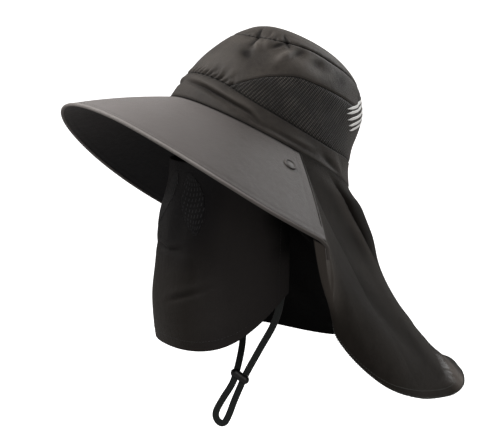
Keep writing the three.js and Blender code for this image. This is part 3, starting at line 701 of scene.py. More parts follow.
class Value:
    """A number that varies over a surface: sums and products of it add their Math nodes."""

    def __init__(self, finish, socket):
        self.finish = finish
        self.socket = socket

    def math(self, operation, *values, clamp=False):
        """A Math node on numbers and other values."""
        settings = {"operation": operation, "use_clamp": clamp}
        return self.finish.node("ShaderNodeMath", settings, dict(enumerate(values)))

    def __add__(self, other):
        return self.math("ADD", self, other)

    def __radd__(self, other):
        return self.math("ADD", other, self)

    def __sub__(self, other):
        return self.math("SUBTRACT", self, other)

    def __rsub__(self, other):
        return self.math("SUBTRACT", other, self)

    def __mul__(self, other):
        return self.math("MULTIPLY", self, other)

    def __rmul__(self, other):
        return self.math("MULTIPLY", other, self)

    def sine(self):
        """The sine of the number, in radians."""
        return self.math("SINE", self)

    def clamped(self):
        """The number held between 0 and 1."""
        return self.math("ADD", self, 0.0, clamp=True)

    def rise(self, low, high):
        """0 below low, 1 above high, and a smooth rise between."""
        inputs = {0: self, 1: low, 2: high, 3: 0.0, 4: 1.0}
        return self.finish.node("ShaderNodeMapRange", {"interpolation_type": "SMOOTHSTEP"}, inputs)


class Finish:
    """A material: its nodes, its Principled shader and the few patterns that the hat's cloths are made of."""

    def __init__(self, name, roughness, sheen=0.0, specular=0.4):
        self.material = bpy.data.materials.new(name)
        self.material.use_nodes = True
        self.tree = self.material.node_tree
        self.shader = self.tree.nodes["Principled BSDF"]
        self.shader.inputs["Roughness"].default_value = roughness
        self.shader.inputs["Sheen Weight"].default_value = sheen
        self.shader.inputs["Sheen Roughness"].default_value = 0.45
        self.shader.inputs["Sheen Tint"].default_value = (1.0, 0.93, 0.88, 1.0)
        self.shader.inputs["Specular IOR Level"].default_value = specular
        self.places = None

    def node(self, kind, settings=None, inputs=None, out=0):
        """Adds a node, makes its settings, then sets or links its sockets, and returns one of its outputs."""
        node = self.tree.nodes.new(kind)
        for key, setting in (settings or {}).items():
            setattr(node, key, setting)
        for key, value in (inputs or {}).items():
            if isinstance(value, Value):
                self.tree.links.new(value.socket, node.inputs[key])
            else:
                node.inputs[key].default_value = value
        return Value(self, node.outputs[out])

    def set(self, name, value):
        """Links a varying value to one of the shader's inputs."""
        self.tree.links.new(value.socket, self.shader.inputs[name])

    def place(self, source="Object"):
        """Coordinates of the surface: its place in the object, or its UVs in true lengths."""
        if source == "UV":
            return self.node("ShaderNodeUVMap", {"uv_map": "cloth"})
        return self.node("ShaderNodeTexCoord", out="Object")

    def apart(self, vector):
        """The X and Y of coordinates."""
        x = self.node("ShaderNodeSeparateXYZ", None, {0: vector})
        return x, Value(self, x.socket.node.outputs[1])

    def noise(self, size_mm, detail=2.0, seed=0.0):
        """Soft random field from 0 to 1 whose blotches are about the given size."""
        inputs = {"Vector": self.place(), "Location": (seed, seed * 0.7, -seed)}
        where = self.node("ShaderNodeMapping", {"vector_type": "POINT"}, inputs)
        inputs = {"Vector": where, "Scale": 1 / (size_mm * MM), "Detail": detail, "Roughness": 0.55}
        return self.node("ShaderNodeTexNoise", None, inputs)

    def attribute(self, name):
        """A number kept at the mesh's points."""
        return self.node("ShaderNodeAttribute", {"attribute_name": name}, out="Fac")

    def behind(self, low_mm, high_mm):
        """0 in front of one place along the hat's length, 1 behind another."""
        return self.apart(self.place())[1].rise(low_mm * MM, high_mm * MM)

    def mix(self, share, low, high):
        """Colour between two colours."""
        pick = {0: share, 6: low, 7: high}
        return self.node("ShaderNodeMix", {"data_type": "RGBA"}, pick, out=2)

    def bump(self, height, distance_mm, strength=1.0):
        """Surface relief from a height field, given its depth in millimetres."""
        inputs = {"Height": height, "Distance": distance_mm * MM, "Strength": strength}
        self.set("Normal", self.node("ShaderNodeBump", None, inputs))


def colour(red, green, blue):
    """Colour for a node, with full cover."""
    return (red, green, blue, 1.0)


SEAM_DARK = colour(0.003, 0.003, 0.003)


def wave(run, pitch_mm):
    """Sine of a run along the surface, with the given pitch."""
    return (run * (2 * np.pi / (pitch_mm * MM))).sine()


def weave(finish, pitch_mm):
    """Height of a plain weave from 0 to 1: warp and weft ribs that cross, along the cloth's own lengths."""
    x, y = finish.apart(finish.place("UV"))
    return wave(x, pitch_mm) * wave(y, pitch_mm) * 0.5 + 0.5


def cloth_finish(name, dark, light, roughness, sheen=0.06, seam=0.6, inside=None, specular=0.2, fields=(),
                 gloss_field=None, inside_field=None):
    """Dyed cloth: two close shades in soft blotches, fine weave, dark sewn edges and a plain inner side.

    Each field is a number kept at the mesh's points, or the two places between which it rises along the hat,
    with the colour and roughness that the cloth takes where it is 1. The fields are painted light and shade:
    painted shade in creases, folds and under the brim, painted light and highlights on crests and lit parts.
    """
    finish = Finish(name, roughness, sheen, specular)
    blotch = finish.noise(34.0, 3.0)
    fine = finish.noise(5.0, 2.0, seed=3.1)
    shade = (blotch * 0.7 + fine * 0.3).rise(0.34, 0.66)
    body = finish.mix(shade, dark, light)
    rough = fine * 0.16 + (roughness - 0.08)
    for field, tint, gloss in fields:
        share = finish.behind(*field) if isinstance(field, tuple) else finish.attribute(field)
        body = finish.mix(share, body, tint)
        rough = rough + share * (gloss - roughness)
    line = 1 - finish.attribute("edge_mm").rise(0.25, 1.3)
    body = finish.mix(line * seam, body, SEAM_DARK)
    # A field can darken the inner side too: painted shade under the brim towards its ends.
    if inside_field:
        inside = finish.mix(finish.attribute(inside_field[0]), inside, inside_field[1])
    if inside:
        body = finish.mix(finish.attribute("inside"), body, inside)
    finish.set("Base Color", body)
    finish.set("Roughness", rough)
    if gloss_field:
        finish.set("Coat Weight", finish.attribute(gloss_field) * 0.5)
        finish.shader.inputs["Coat Roughness"].default_value = 0.3
    height = weave(finish, 0.9) * 0.35 + finish.noise(1.6, 2.0, seed=1.7) * 0.35
    finish.bump(height + finish.noise(9.0, 2.0, seed=5.2) * 1.6, 0.35, 0.8)
    return finish.material


def mesh_finish(name, dark, light, pitch_mm, turn, roughness=0.6):
    """Knitted mesh: light slanting ribs with short ticks across, over dark eyelets."""
    finish = Finish(name, roughness, 0.1, 0.25)
    x, y = finish.apart(finish.place("UV"))
    c, s = np.cos(turn), np.sin(turn)
    ribs = wave(x * c + y * s, pitch_mm) * 0.5 + 0.5
    across = wave(y * c - x * s, pitch_mm * 0.62) * 0.5 + 0.5
    strands = (ribs * 0.5 + across * 0.5).rise(0.38, 0.85)
    patches = finish.noise(24.0, 3.0).rise(0.38, 0.6)
    body = finish.mix(strands * (0.3 + patches * 0.7), dark, light)
    line = 1 - finish.attribute("edge_mm").rise(0.3, 1.5)
    finish.set("Base Color", finish.mix(line * 0.8, body, SEAM_DARK))
    finish.bump(strands + finish.noise(8.0, 2.0) * 0.5, 0.6, 0.9)
    return finish.material


def dash_finish(name, dark, light, roughness=0.6):
    """Breathing patch: short slanting light dashes in staggered rows over dark cloth."""
    finish = Finish(name, roughness, 0.0, 0.2)
    x, y = finish.apart(finish.place("UV"))
    across = wave(x + y * 0.5, 6.6)
    down = wave(y - x * 0.3, 5.6)
    dashes = across.rise(0.3, 0.95) * down.rise(-0.6, 0.0)
    finish.set("Base Color", finish.mix(dashes, dark, light))
    finish.bump(dashes, 0.4, 0.8)
    return finish.material


def plain_finish(name, dark, light, roughness, grain_mm=1.2, relief=0.1):
    """Moulded or woven small part: two close shades in fine grain with a little relief."""
    finish = Finish(name, roughness, 0.0, 0.5)
    grain = finish.noise(grain_mm, 3.0)
    finish.set("Base Color", finish.mix(grain.rise(0.3, 0.7), dark, light))
    finish.set("Roughness", grain * 0.2 + (roughness - 0.1))
    finish.bump(grain, relief, 0.6)
    return finish.material


def thread_finish(name, dark, light):
    """Sewing thread: matt, with very fine grain."""
    return plain_finish(name, dark, light, 0.7, 0.5, 0.05)


def tape_finish(name, dark, light, rib_mm, roughness=0.7):
    """Woven tape or cord: slanting ribs across its length, lighter on their crests."""
    finish = Finish(name, roughness, 0.2, 0.4)
    x, y = finish.apart(finish.place("UV"))
    ribs = wave(x * 0.9 + y, rib_mm) * wave(y - x * 0.9, rib_mm) * 0.5 + 0.5
    worn = finish.noise(7.0, 2.0)
    finish.set("Base Color", finish.mix((ribs * 0.6 + worn * 0.5).clamped(), dark, light))
    finish.bump(ribs, 0.3, 0.8)
    return finish.material


# Creases of the soft crown: angle, way up, spread in degrees and in way, slant in degrees for the whole
# way up, and depth in mm.
CREASES = table(
    "at way wide tall slant deep",
    (25.5, 0.655, 2.2, 0.07, -69, 4.2),
    (30.5, 0.555, 2.6, 0.035, -45, 2.4),
    (36.5, 0.56, 3.0, 0.04, -40, -2.6),
    (33.5, 0.475, 5.0, 0.032, -60, 2.2),
    (41, 0.6, 2.6, 0.035, -30, -1.6),
    (35.5, 0.7, 1.3, 0.035, -60, 1.3),
    (40, 0.69, 1.6, 0.035, -60, -1.2),
    (44, 0.67, 1.4, 0.035, -60, 1.4),
    (50.5, 0.615, 2.8, 0.045, 57, 2.8),
    (53.5, 0.685, 2.0, 0.05, -98, 4.0),
    (57, 0.655, 2.0, 0.02, -98, 2.0),
    (60.3, 0.57, 3.6, 0.065, 46, -3.0),
    (68, 0.625, 4.0, 0.05, 46, 2.2),
    (76, 0.6, 5.0, 0.06, 40, -1.0),
    (86, 0.63, 3.4, 0.045, 30, 1.2),
    (98, 0.6, 5.0, 0.06, 30, -1.0),
    (109, 0.6, 5.0, 0.07, 20, 1.1),
    (-10, 0.56, 4.0, 0.08, 30, 1.6),
    (-28, 0.6, 2.6, 0.06, 60, 2.6),
    (-47, 0.6, 3.0, 0.06, -57, 2.4),
    (-62, 0.56, 5.0, 0.08, -50, -1.8),
    (-105, 0.58, 6.0, 0.06, 50, 1.6),
    (140, 0.6, 4.0, 0.06, 40, 1.6),
    (160, 0.57, 6.0, 0.06, 30, -1.2),
    (-160, 0.6, 4.0, 0.06, -30, 1.4),
)
# Creases of the band, placed in the same way.
BAND_CREASES = table(
    "at way wide tall slant deep",
    (114, 0.1, 6.0, 0.05, -90, 2.0),
    (124, 0.13, 4.0, 0.06, -60, -1.2),
    (-118, 0.1, 8.0, 0.05, 90, 1.6),
    (78, 0.09, 14, 0.025, 0, 0.9),
    (92, 0.13, 8, 0.03, 60, -0.8),
)
# Line of the band's long fold, by angle from the front.
BAND_FOLD = table("at way", (0, 0.2), (24, 0.183), (45, 0.153), (57, 0.138), (64, 0.1), (70, 0.06))
# Puckers under the tip seam, gathers over the band in front, and slackness all over: depth in mm and places.
PUCKERS = {"deep": 0.6, "pitch": 1.1, "under": 0.022}
FRONT_GATHERS = {"deep": 1.8, "pitch": 1.38, "at": 16, "wide": 25, "over": 0.016, "tall": 0.017, "slant": 55}
SLACK = {"deep": 0.6, "way": 0.45, "tall": 0.3}
# The fuller upper sides of the crown, and how far its tip seam hangs there.
FULLER = {"deep": 2.2, "at": 86, "wide": 20, "way": 0.8, "tall": 0.07}
SEAM_HANGS = {"by": 0.012, "at": 86, "wide": 22}


def creases_at(rows, across, way):
    """Depth of slanting creases: each a bell across its line and a bell along it."""
    deep = 0.0 * across * way
    for at, level, wide, tall, slant, depth in rows_of(rows, "at way wide tall slant deep"):
        aside = half_turn(across - at - slant * (way - level))
        deep = deep + depth * bump(aside / wide) * bump((way - level) / tall)
    return deep


def band_top(deg):
    """Seam over the band, as a share of the way up."""
    return along(BAND_ROWS, "at", "way", np.abs(half_turn(deg)))


def mesh_top(deg):
    """Seam over the mesh panel, as a share of the way up."""
    return along(MESH_ROWS, "at", "way", np.abs(half_turn(deg)))


def tip_seam(deg):
    """Seam round the tip, as a share of the way up, hanging a little at the sides."""
    turned = np.abs(half_turn(deg))
    hangs = SEAM_HANGS["by"] * bump((turned - SEAM_HANGS["at"]) / SEAM_HANGS["wide"])
    return along(TIP_ROWS, "at", "way", turned) - hangs


def wall_foot(deg):
    """Lower edge of the crown's wall: the band's top in front, the mesh panel's top behind it."""
    in_front = np.abs(half_turn(deg)) < MESH_TOP["at"][0]
    return np.where(in_front, band_top(deg), np.maximum(mesh_top(deg), band_top(deg)))


def long_fold(deg, way):
    """Depth of the band's long fold: a pressed groove with a swell over it, fading towards its ends."""
    turned = np.abs(half_turn(deg))
    over = way - along(BAND_FOLD, "at", "way", turned)
    within = np.exp(-(((turned - 34) / 29) ** 6))
    return (2.2 * bump((over + 0.004) / 0.014) - 1.4 * bump((over - 0.034) / 0.02)) * within


def crown_depth(deg, way):
    """Depth of the crown's creases, puckers, gathers and slackness, and of the band's long fold."""
    turned = np.abs(half_turn(deg))
    deep = creases_at(CREASES, deg, way) + creases_at(BAND_CREASES, deg, way)
    pucker = np.sin(deg * PUCKERS["pitch"] + 2.2 * np.sin(deg * 0.31)) * 0.5 + 0.5
    deep = deep + PUCKERS["deep"] * pucker * np.exp(-np.abs(tip_seam(deg) - way) / PUCKERS["under"])
    over_band = way - band_top(deg)
    in_front = np.exp(-(((turned - FRONT_GATHERS["at"]) / FRONT_GATHERS["wide"]) ** 4))
    gather = np.sin((turned - FRONT_GATHERS["slant"] * over_band) * FRONT_GATHERS["pitch"] - 0.6)
    near_band = bump((over_band - FRONT_GATHERS["over"]) / FRONT_GATHERS["tall"])
    deep = deep + FRONT_GATHERS["deep"] * np.maximum(gather, -0.3) * in_front * near_band
    deep = deep + long_fold(deg, way)
    slack = np.sin(deg * 0.07 + way * 11) * np.sin(deg * 0.043 - way * 17 + 1.3)
    return deep + SLACK["deep"] * slack * bump((way - SLACK["way"]) / SLACK["tall"])


def crown_fine(deg, way):
    """Crown with its creases and folds, a little fuller at the upper sides."""
    at_side = bump((np.abs(half_turn(deg)) - FULLER["at"]) / FULLER["wide"])
    fuller = FULLER["deep"] * at_side * bump((way - FULLER["way"]) / FULLER["tall"])
    return crown_at(deg, way, crown_depth(deg, way) - fuller)


def fold_fields(deg, way):
    """How far each place lies in a crease, and how far on a crest, from 0 to 1: painted shade and painted
    highlight.
    """
    deep = crown_depth(deg, way)
    return {"crease": np.clip(deep / 2.3, 0, 1) ** 1.4, "crest_highlight": np.clip(-deep / 1.8, 0, 1)}


def lapped(seam, sign):
    """A seam's line moved up (1) or down (-1) by the strips' lap, so that the rolled edges are hidden."""
    def moved(deg):
        """The moved line by angle, as a share of the way up the crown."""
        way = seam(deg)
        step = np.linalg.norm(crown_at(deg, way + 0.01) - crown_at(deg, way - 0.01), axis=-1) / 0.02
        return way + sign * STRIP_LAP / step
    return moved


def strip_points(degs, ways, low, high):
    """Grid of crown points between two seams, and the fields of its folds."""
    d, t = np.meshgrid(degs, ways, indexing="ij")
    a, b = low(d), high(d)
    level = a + (b - a) * t
    return crown_fine(d, level), fold_fields(d, level)


def dress(piece, material, slot, *nodes):
    """Gives a piece its material, fastens it to the hat and lets it stand for its CAD nodes. Its slot is not
    used.
    """
    piece.data.materials.append(material)
    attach(piece, "root")
    if nodes:
        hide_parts(*nodes)
    return piece


def make_crown(finishes):
    """Band, mesh panel, wall and gathered tip, each a strip of the same outline between two seams."""
    whole = np.linspace(-180, 180, 421)[:-1]
    ways = steps_to_edges(30, 26, CLOTH)
    band, folds = strip_points(whole, ways, lambda d: 0 * d, lapped(band_top, 1))
    piece = cloth_piece("hat_band", band, CLOTH, ring=True, roll=(1.1, 0.8), fields=folds)
    dress(piece, finishes["band"], "crown_cloth", "crown_band")

    front = MESH_STARTS - MESH_UNDER_WALL
    back = front + (360 - 2 * front) * steps_to_edges(330, 260, CLOTH)
    mesh_high = lapped(mesh_top, 1)
    mesh, _ = strip_points(
        back,
        steps_to_edges(36, 30, CLOTH),
        lapped(band_top, -1),
        lambda d: np.maximum(mesh_high(d), band_top(d) + 0.01),
    )
    piece = cloth_piece("mesh_panel", mesh, CLOTH * 0.8, roll=(0.6, 0.6))
    dress(piece, finishes["mesh"], "mesh", "crown_mesh")

    ways = steps_to_edges(50, 44, CLOTH)
    wall, folds = strip_points(whole, ways, lapped(wall_foot, -1), lapped(tip_seam, 1))
    piece = cloth_piece("crown_side", wall, CLOTH, ring=True, roll=(0.6, 0.9), fields=folds)
    dress(piece, finishes["crown"], "crown_cloth", "crown_wall")

    ways = steps_to_edges(70, 44, CLOTH, both=False)
    tip, folds = strip_points(whole, ways, lapped(tip_seam, -1), lambda d: 0 * d + 1)
    piece = cloth_piece("crown_top", tip, CLOTH, ring=True, pole=True, roll=(0.9, 0.0), fields=folds)
    dress(piece, finishes["crown"], "crown_cloth", "crown_tip")


# Plain light bars across the back of the crown: where each starts and ends, its rise and its width in mm.
BARS = table(
    "start way wide",
    (118.5, 0.468, 3.4),
    (119.5, 0.443, 3.2),
    (122.5, 0.416, 3.4),
    (126, 0.392, 3.4),
    (129, 0.372, 3.0),
)
BAR_RISE = 0.0047
BAR_END = 158.0
BAR_THICK = 0.45
OUTLINE_RUN = 165.0


def make_bars(finishes):
    """Slanting strips laid on the back of the crown, on both sides alike, with pointed front ends."""
    for side, label in ((1, "left"), (-1, "right")):
        for number, (start, way, wide) in enumerate(rows_of(BARS, "start way wide")):
            t = np.linspace(0, 1, 60)[:, None]
            across = np.linspace(-1, 1, 9)[None, :]
            deg = start + (BAR_END - start) * t + 0 * across
            taper = np.minimum(t / 0.16 + 0.1, 1) * np.minimum((1 - t) / 0.08 + 0.4, 1)
            level = way + BAR_RISE * (deg - start) + across * taper * wide / 2 / OUTLINE_RUN
            points = crown_fine(side * deg, level)
            n = grid_normals(points, False, False)
            piece = cloth_piece(f"back_bar_{label}_{number + 1}", points + n * 0.5, BAR_THICK)
            dress(piece, finishes["bar"], "mesh")


def brim_fine(q, way):
    """Brim across from its right end (-1) to its left end (1), with topstitch grooves and a slight wave."""
    p = brim_at(q * brim_end(way), way)
    n = facing(brim_at, q * brim_end(way), way, 0.2, 0.004)
    from_rim = (1 - way) * BRIM_OUT
    from_end = (1 - np.abs(q)) * BRIM_ROUND
    groove = 0.35 * bump((from_rim - 6.0) / 0.8) + 0.3 * bump((from_end - 6.5) / 0.8)
    wave = 0.35 * np.sin(q * 9.0 + 1.0) * way**2 + 0.2 * np.sin(q * 23.0) * way**2
    return p + n * (wave - groove)[..., None]


def rim_line(count):
    """Middle of the brim's bound edge, a little outside its cut edge, with the direction out of the cloth."""
    q = np.linspace(-1, 1, count)
    way = RIM_WAY + (BINDING / 2 + SEAM) / np.hypot(BRIM_REACH, BRIM_DROP * 0.9)
    n = facing(brim_at, q * brim_end(1.0), RIM_WAY + 0 * q, 0.2, 0.004)
    return brim_at(q * brim_end(1.0), way) - n * BRIM_WALL / 2, n


def make_brim(finishes):
    """Stiff front brim and the binding along its rim, which turns down over the cape beyond each corner."""
    out = RIM_WAY + BRIM_IN_BINDING + BRIM_UNDER_BAND
    ways = out * steps_to_edges(110, 70, BRIM_WALL) - BRIM_UNDER_BAND
    across = (1 + BRIM_UNDER_CAPE) * (2 * steps_to_edges(460, 300, BRIM_WALL) - 1)
    q, way = np.meshgrid(across, ways, indexing="ij")
    # Painted shade: the brim darker towards its ends, on top and underneath, and near black at the mouth.
    fields = {"rear_shade": np.clip((np.abs(q) - 0.15) / 0.5, 0, 1), "mouth_shade": bump(np.maximum(way, 0) / 0.012)}
    piece = cloth_piece("front_brim", brim_fine(q, way), BRIM_WALL, roll=(0.9, 0.0), fields=fields)
    dress(piece, finishes["brim"], "brim_cloth", "brim")
    path, normals = rim_line(420)
    drop = np.linspace(0.02, 0.15, 20)
    tails = []
    for side in (-1, 1):
        p = cape_at(side * 0.995, drop)
        n = facing(cape_at, side * 0.99 + 0 * drop, drop, 0.01, 0.01)
        tails.append((p + n * (BINDING / 2 + 0.8), n))
    path = np.concatenate([tails[0][0][::-1], path, tails[1][0]])
    normals = np.concatenate([tails[0][1][::-1], normals, tails[1][1]])
    path = smooth_line(path, 9)
    piece = sweep("brim_edge", path, unit(smooth_line(normals, 9)), BINDING, BINDING, 14, power=2.6)
    dress(piece, finishes["binding"], "binding", "brim_binding")


def smooth_line(points, width):
    """Running average along a line, with its ends kept."""
    half = width // 2
    padded = np.concatenate([np.repeat(points[:1], half, 0), points, np.repeat(points[-1:], half, 0)])
    run = np.concatenate([np.zeros((1, points.shape[1])), padded.cumsum(0)])
    out = (run[width:] - run[:-width]) / width
    out[0], out[-1] = points[0], points[-1]
    return out


# Fold that the cape throws on each side behind the brim: its crest by way down. Its bells give depth in mm,
# and place and width in mm across from the crest.
CREST = table("way at", (0, 0.53), (0.094, 0.478), (0.193, 0.45), (0.3, 0.405), (0.4, 0.345), (0.6, 0.3))
CAPE_FOLD = table("deep at wide", (-5.5, -13, 8), (5.0, -50, 26))
# Pressed line behind the cape's front edge, and the valley down its side, as shares across and down the cape.
CAPE_CREASES = table(
    "at way wide tall slant deep",
    (0.94319, 0.38, 0.012, 0.16, 0.33, 1.4),
    (0.6195, 0.64, 0.075, 0.16, -0.45, -2.6),
)
# Crease over the curled tip: its way down, how it slants across the cape, and how far round it reaches. Then
# how far the middle of the hem lies forward and down, in mm.
CURL = {"way": 0.845, "slope": 0.67, "from": 0.31, "reach": 0.12, "wide": 0.46}
HEM_MIDDLE = {"wide": 0.19, "forward": 5.5, "down": 9.0}


def cape_fold(a, v):
    """Distance in mm across the cape from its fold's crest, and how much of the fold is left here."""
    s = (a - along(CREST, "way", "at", v)) * CAPE_LENGTH
    return s, np.sin(np.clip(v / 0.13, 0, 1) * np.pi / 2) ** 2 * bump(np.maximum(v - 0.24, 0) / 0.13)


def below_curl(a, v):
    """Distance down from the curl's crease, as a share of the cape's length."""
    return v - (CURL["way"] + CURL["slope"] * np.clip(a - CURL["from"], 0, CURL["reach"]))


def cape_fine(u, v):
    """Cape with its main fold behind the brim, a pressed front edge, a curled tip and upright folds."""
    p = cape_at(u, v)
    n = facing(cape_at, u, v, 0.004, 0.01)
    a = np.abs(u)
    across, fade = cape_fold(a, v)
    high = 4.5 * np.where(across > 0, bump(across / 30), bump(across / 4.5))
    for deep, at, wide in rows_of(CAPE_FOLD, "deep at wide"):
        high = high + deep * bump((across - at) / wide)
    out = high * fade + creases_at(CAPE_CREASES, a, v)
    out = out + 1.2 * np.sin(a * 17 + v * 3.1) * bump((v - 0.7) / 0.2) * np.clip(1.02 - a, 0, 1) ** 0.5
    down = below_curl(a, v)
    at_side = np.exp(-((a / CURL["wide"]) ** 10)) * np.clip((a - 0.22) / 0.1, 0, 1)
    out = out + (2.4 * bump((down - 0.07) / 0.05) - 3.6 * bump(down / 0.022)) * at_side
    out = out + 0.7 * np.sin(a * 105 + v * 45) * bump((down - 0.03) / 0.03) * bump((u - 0.385) / 0.04)
    p = p + n * out[..., None]
    middle = np.exp(-((a / HEM_MIDDLE["wide"]) ** 4))
    p[..., 1] -= HEM_MIDDLE["forward"] * bump((v - 0.85) / 0.06) * middle
    p[..., 2] -= HEM_MIDDLE["down"] * bump((v - 0.95) / 0.09) * middle
    return p


def make_cape(finishes):
    """Neck cape as one sheet of cloth, hung from the mouth's back half and the brim's rear edges."""
    us = CAPE_END * (2 * steps_to_edges(640, 300, CLOTH) - 1)
    vs = (1 + CAPE_UNDER_BAND) * steps_to_edges(240, 130, CLOTH) - CAPE_UNDER_BAND
    u, v = np.meshgrid(us, vs, indexing="ij")
    points = cape_fine(u, v)
    a = np.abs(u)
    across, fade = cape_fold(a, v)
    on_strip = np.clip((a - 0.8 - 0.25 * (v - 0.24)) / 0.12, 0, 1)
    fields = {
        # Painted shade in the fold behind its crest.
        "fold": np.where(across < 0, bump((across + 26) / 26), bump(across / 3)) * fade,
        # Painted highlight on the curled tip, which is also given a glossy coat.
        "curl_highlight": bump(np.minimum(below_curl(a, v) - 0.06, 0) / 0.04) * bump((u - 0.375) / 0.075),
        # Painted light on the front strip below the brim's corner.
        "front": on_strip * bump(np.maximum(v - 0.5, 0) / 0.25),
        # Painted shade: a darker slanting band part way down each side.
        "middle": bump((a - 0.7 + 0.4 * (v - 0.5)) / 0.11) * bump((v - 0.58) / 0.22),
        # Painted highlight on the crest of the fold.
        "ridge_highlight": bump((across - 6) / 12) * fade,
    }
    piece = cloth_piece("cape", points, CLOTH, fields=fields)
    return dress(piece, finishes["cape"], "cape_cloth", "neck_cape"), points


# Dent on the mask's left, placed as shares across and down it. Then how far its rear edges lie back in mm, at
# the top and more at the hem, and from which share of its half width on.
MASK_CREASES = table("at way wide tall slant deep", (0.3336, 0.64, 0.05, 0.09, 0.42, -1.6))
MASK_BACK = {"by": 4.5, "more": 2.5, "from": 0.7}


def mask_fine(u, v):
    """Mask with a tuck over the mouth, slack folds and, on the left, a slanting crease and a dent."""
    p = mask_at(u, v)
    n = facing(mask_at, u, v, 0.004, 0.01)
    a = np.abs(u)
    tuck = v - 0.526 + 0.14 * a
    out = (1.6 * bump((tuck + 0.022) / 0.014) - 1.2 * bump(tuck / 0.01)) * bump(a / 0.17)
    crease = v - 0.81 + 0.2 * a
    fold = 1.0 * bump((crease + 0.035) / 0.02) - 1.7 * bump(crease / 0.014)
    left = np.clip(u / 0.16, 0, 1)
    out = out + (fold * bump((a - 0.22) / 0.2) + creases_at(MASK_CREASES, a, v)) * left
    out = out + 0.9 * np.sin(v * 19 + a * 4) * bump((v - 0.9) / 0.1) * bump((a - 0.4) / 0.35)
    out = out + 0.7 * np.sin(a * 17 + v * 6) * bump((v - 0.35) / 0.3)
    p = p + n * out[..., None]
    at_rear = np.clip((a - MASK_BACK["from"]) / (1 - MASK_BACK["from"]), 0, 1) ** 2
    p[..., 1] += (MASK_BACK["by"] + MASK_BACK["more"] * v) * at_rear * np.clip(v / 0.1, 0, 1)
    return p


def patch_place(side, across, down, grow=0.0):
    """Place on the mask within a leaf-shaped patch: its half width follows a sine from top to bottom."""
    half = PATCH["half"] * np.sin(np.pi * down.clip(0.03, 0.97)) ** 0.7 + grow
    u = side * (PATCH["from"] + (PATCH["to"] - PATCH["from"]) * down + half * across)
    return u, PATCH["top"] + (PATCH["bottom"] - PATCH["top"]) * down


def make_mask(finishes):
    """Face mask as one sheet of cloth hung from the two snaps, with a breathing patch on each cheek."""
    us = 2 * steps_to_edges(330, 220, CLOTH) - 1
    u, v = np.meshgrid(us, steps_to_edges(150, 110, CLOTH), indexing="ij")
    points = mask_fine(u, v)
    shade = np.abs(u) + 0.012 * np.sin(v * 23) - 0.82 - 0.2 * np.maximum(v - 0.3, 0)
    fields = {
        # Painted light: lighter towards the hem, below the brim's shade.
        "low": np.clip((v - 0.3) / 0.35, 0, 1),
        # Painted light: lighter from the middle towards the rear edges.
        "middle": np.clip((np.abs(u) - 0.3) / 0.25, 0, 1),
        # Painted shadow of the brim: near black at the upper rear.
        "rear_shade": np.clip(shade / 0.12, 0, 1) * np.clip((0.75 - v) / 0.2, 0, 1),
    }
    piece = cloth_piece("mask", points, CLOTH, fields=fields)
    dress(piece, finishes["mask"], "mask_cloth", "face_mask")
    patches = []
    across = 2 * steps_to_edges(40, 40, CLOTH) - 1
    across, down = np.meshgrid(across, steps_to_edges(60, 60, CLOTH), indexing="ij")
    for side, name in ((1, "left"), (-1, "right")):
        grid = mask_fine(*patch_place(side, across, down))
        n = grid_normals(grid, False, False)
        patch = cloth_piece(f"cheek_mesh_{name}", grid + n * 0.25, CLOTH * 0.8, roll=(0.1, 0.1))
        patches.append(dress(patch, finishes["patch"], "mesh", f"mask_mesh_{name}"))
    return piece, points, patches


def lathe(name, profile, at, out, sides=48):
    """Turned piece: a profile of radius and height, from axis to axis, carried about a direction."""
    w = np.arange(sides) / sides * 2 * np.pi
    side = unit(np.cross(out, np.array([0.3, 0.2, 0.9])))
    other = np.cross(out, side)
    radius, height = profile[:, 0], profile[:, 1]
    spread = side * np.cos(w)[:, None] + other * np.sin(w)[:, None]
    points = at + radius[None, :, None] * spread[:, None, :] + height[None, :, None] * out
    rows = len(profile)
    index = np.arange(sides * rows).reshape(sides, rows)
    index[:, 0] = index[0, 0]
    index[:, -1] = index[0, -1]
    i = np.arange(sides)[:, None]
    j = np.arange(rows - 1)[None, :]
    k = (i + 1) % sides
    cell = np.stack([index[i, j], index[k, j], index[k, j + 1], index[i, j + 1]], -1)
    faces = [cell[:, 1:-1].reshape(-1, 4), cell[:, 0][:, [0, 2, 3]], cell[:, -1][:, [0, 1, 2]]]
    uvs = [np.zeros((len(f), f.shape[1], 2)) for f in faces]
    return write_mesh(name, points.reshape(-1, 3), faces, uvs)


def make_snaps(finishes):
    """Snap caps on the brim and their lower halves under it."""
    for side, label in ((1, "left"), (-1, "right")):
        at = brim_at(side * SNAP["at"], SNAP["out"])
        out = facing(brim_at, side * SNAP["at"], SNAP["out"], 0.2, 0.004)
        cap = lathe(f"snap_cap_{label}_fine", CAP_PROFILE, at + out * SEAM * 0.3, out)
        dress(cap, finishes["cap"], "snap_cap", f"snap_cap_{label}")
        under = at - out * (BRIM_WALL + SEAM + SNAP["deep"])
        socket = lathe(f"snap_socket_{label}_fine", SOCKET_PROFILE, under, out)
        dress(socket, finishes["socket"], "snap_socket", f"snap_socket_{label}")


def cord_frame():
    """Directions of the loop's plane: out of it, across it and down it."""
    out = unit(np.array([np.sin(LOOP_FACES), -np.cos(LOOP_FACES), 0.08]))
    across = np.array([np.cos(LOOP_FACES), np.sin(LOOP_FACES), 0.0])
    down = unit(np.cross(across, out))
    return out, across, down if down[2] < 0 else -down


def cord_sewn(side):
    """Place inside the band where a side of the cord is sewn, and the direction that its flat faces there."""
    out = facing(crown_at, side * CORD_SEWN["at"], CORD_SEWN["way"], 0.5, 0.01)
    at = crown_at(side * CORD_SEWN["at"], CORD_SEWN["way"]) - out * (CLOTH + SEAM + CORD_THICK / 2)
    return at, out * side


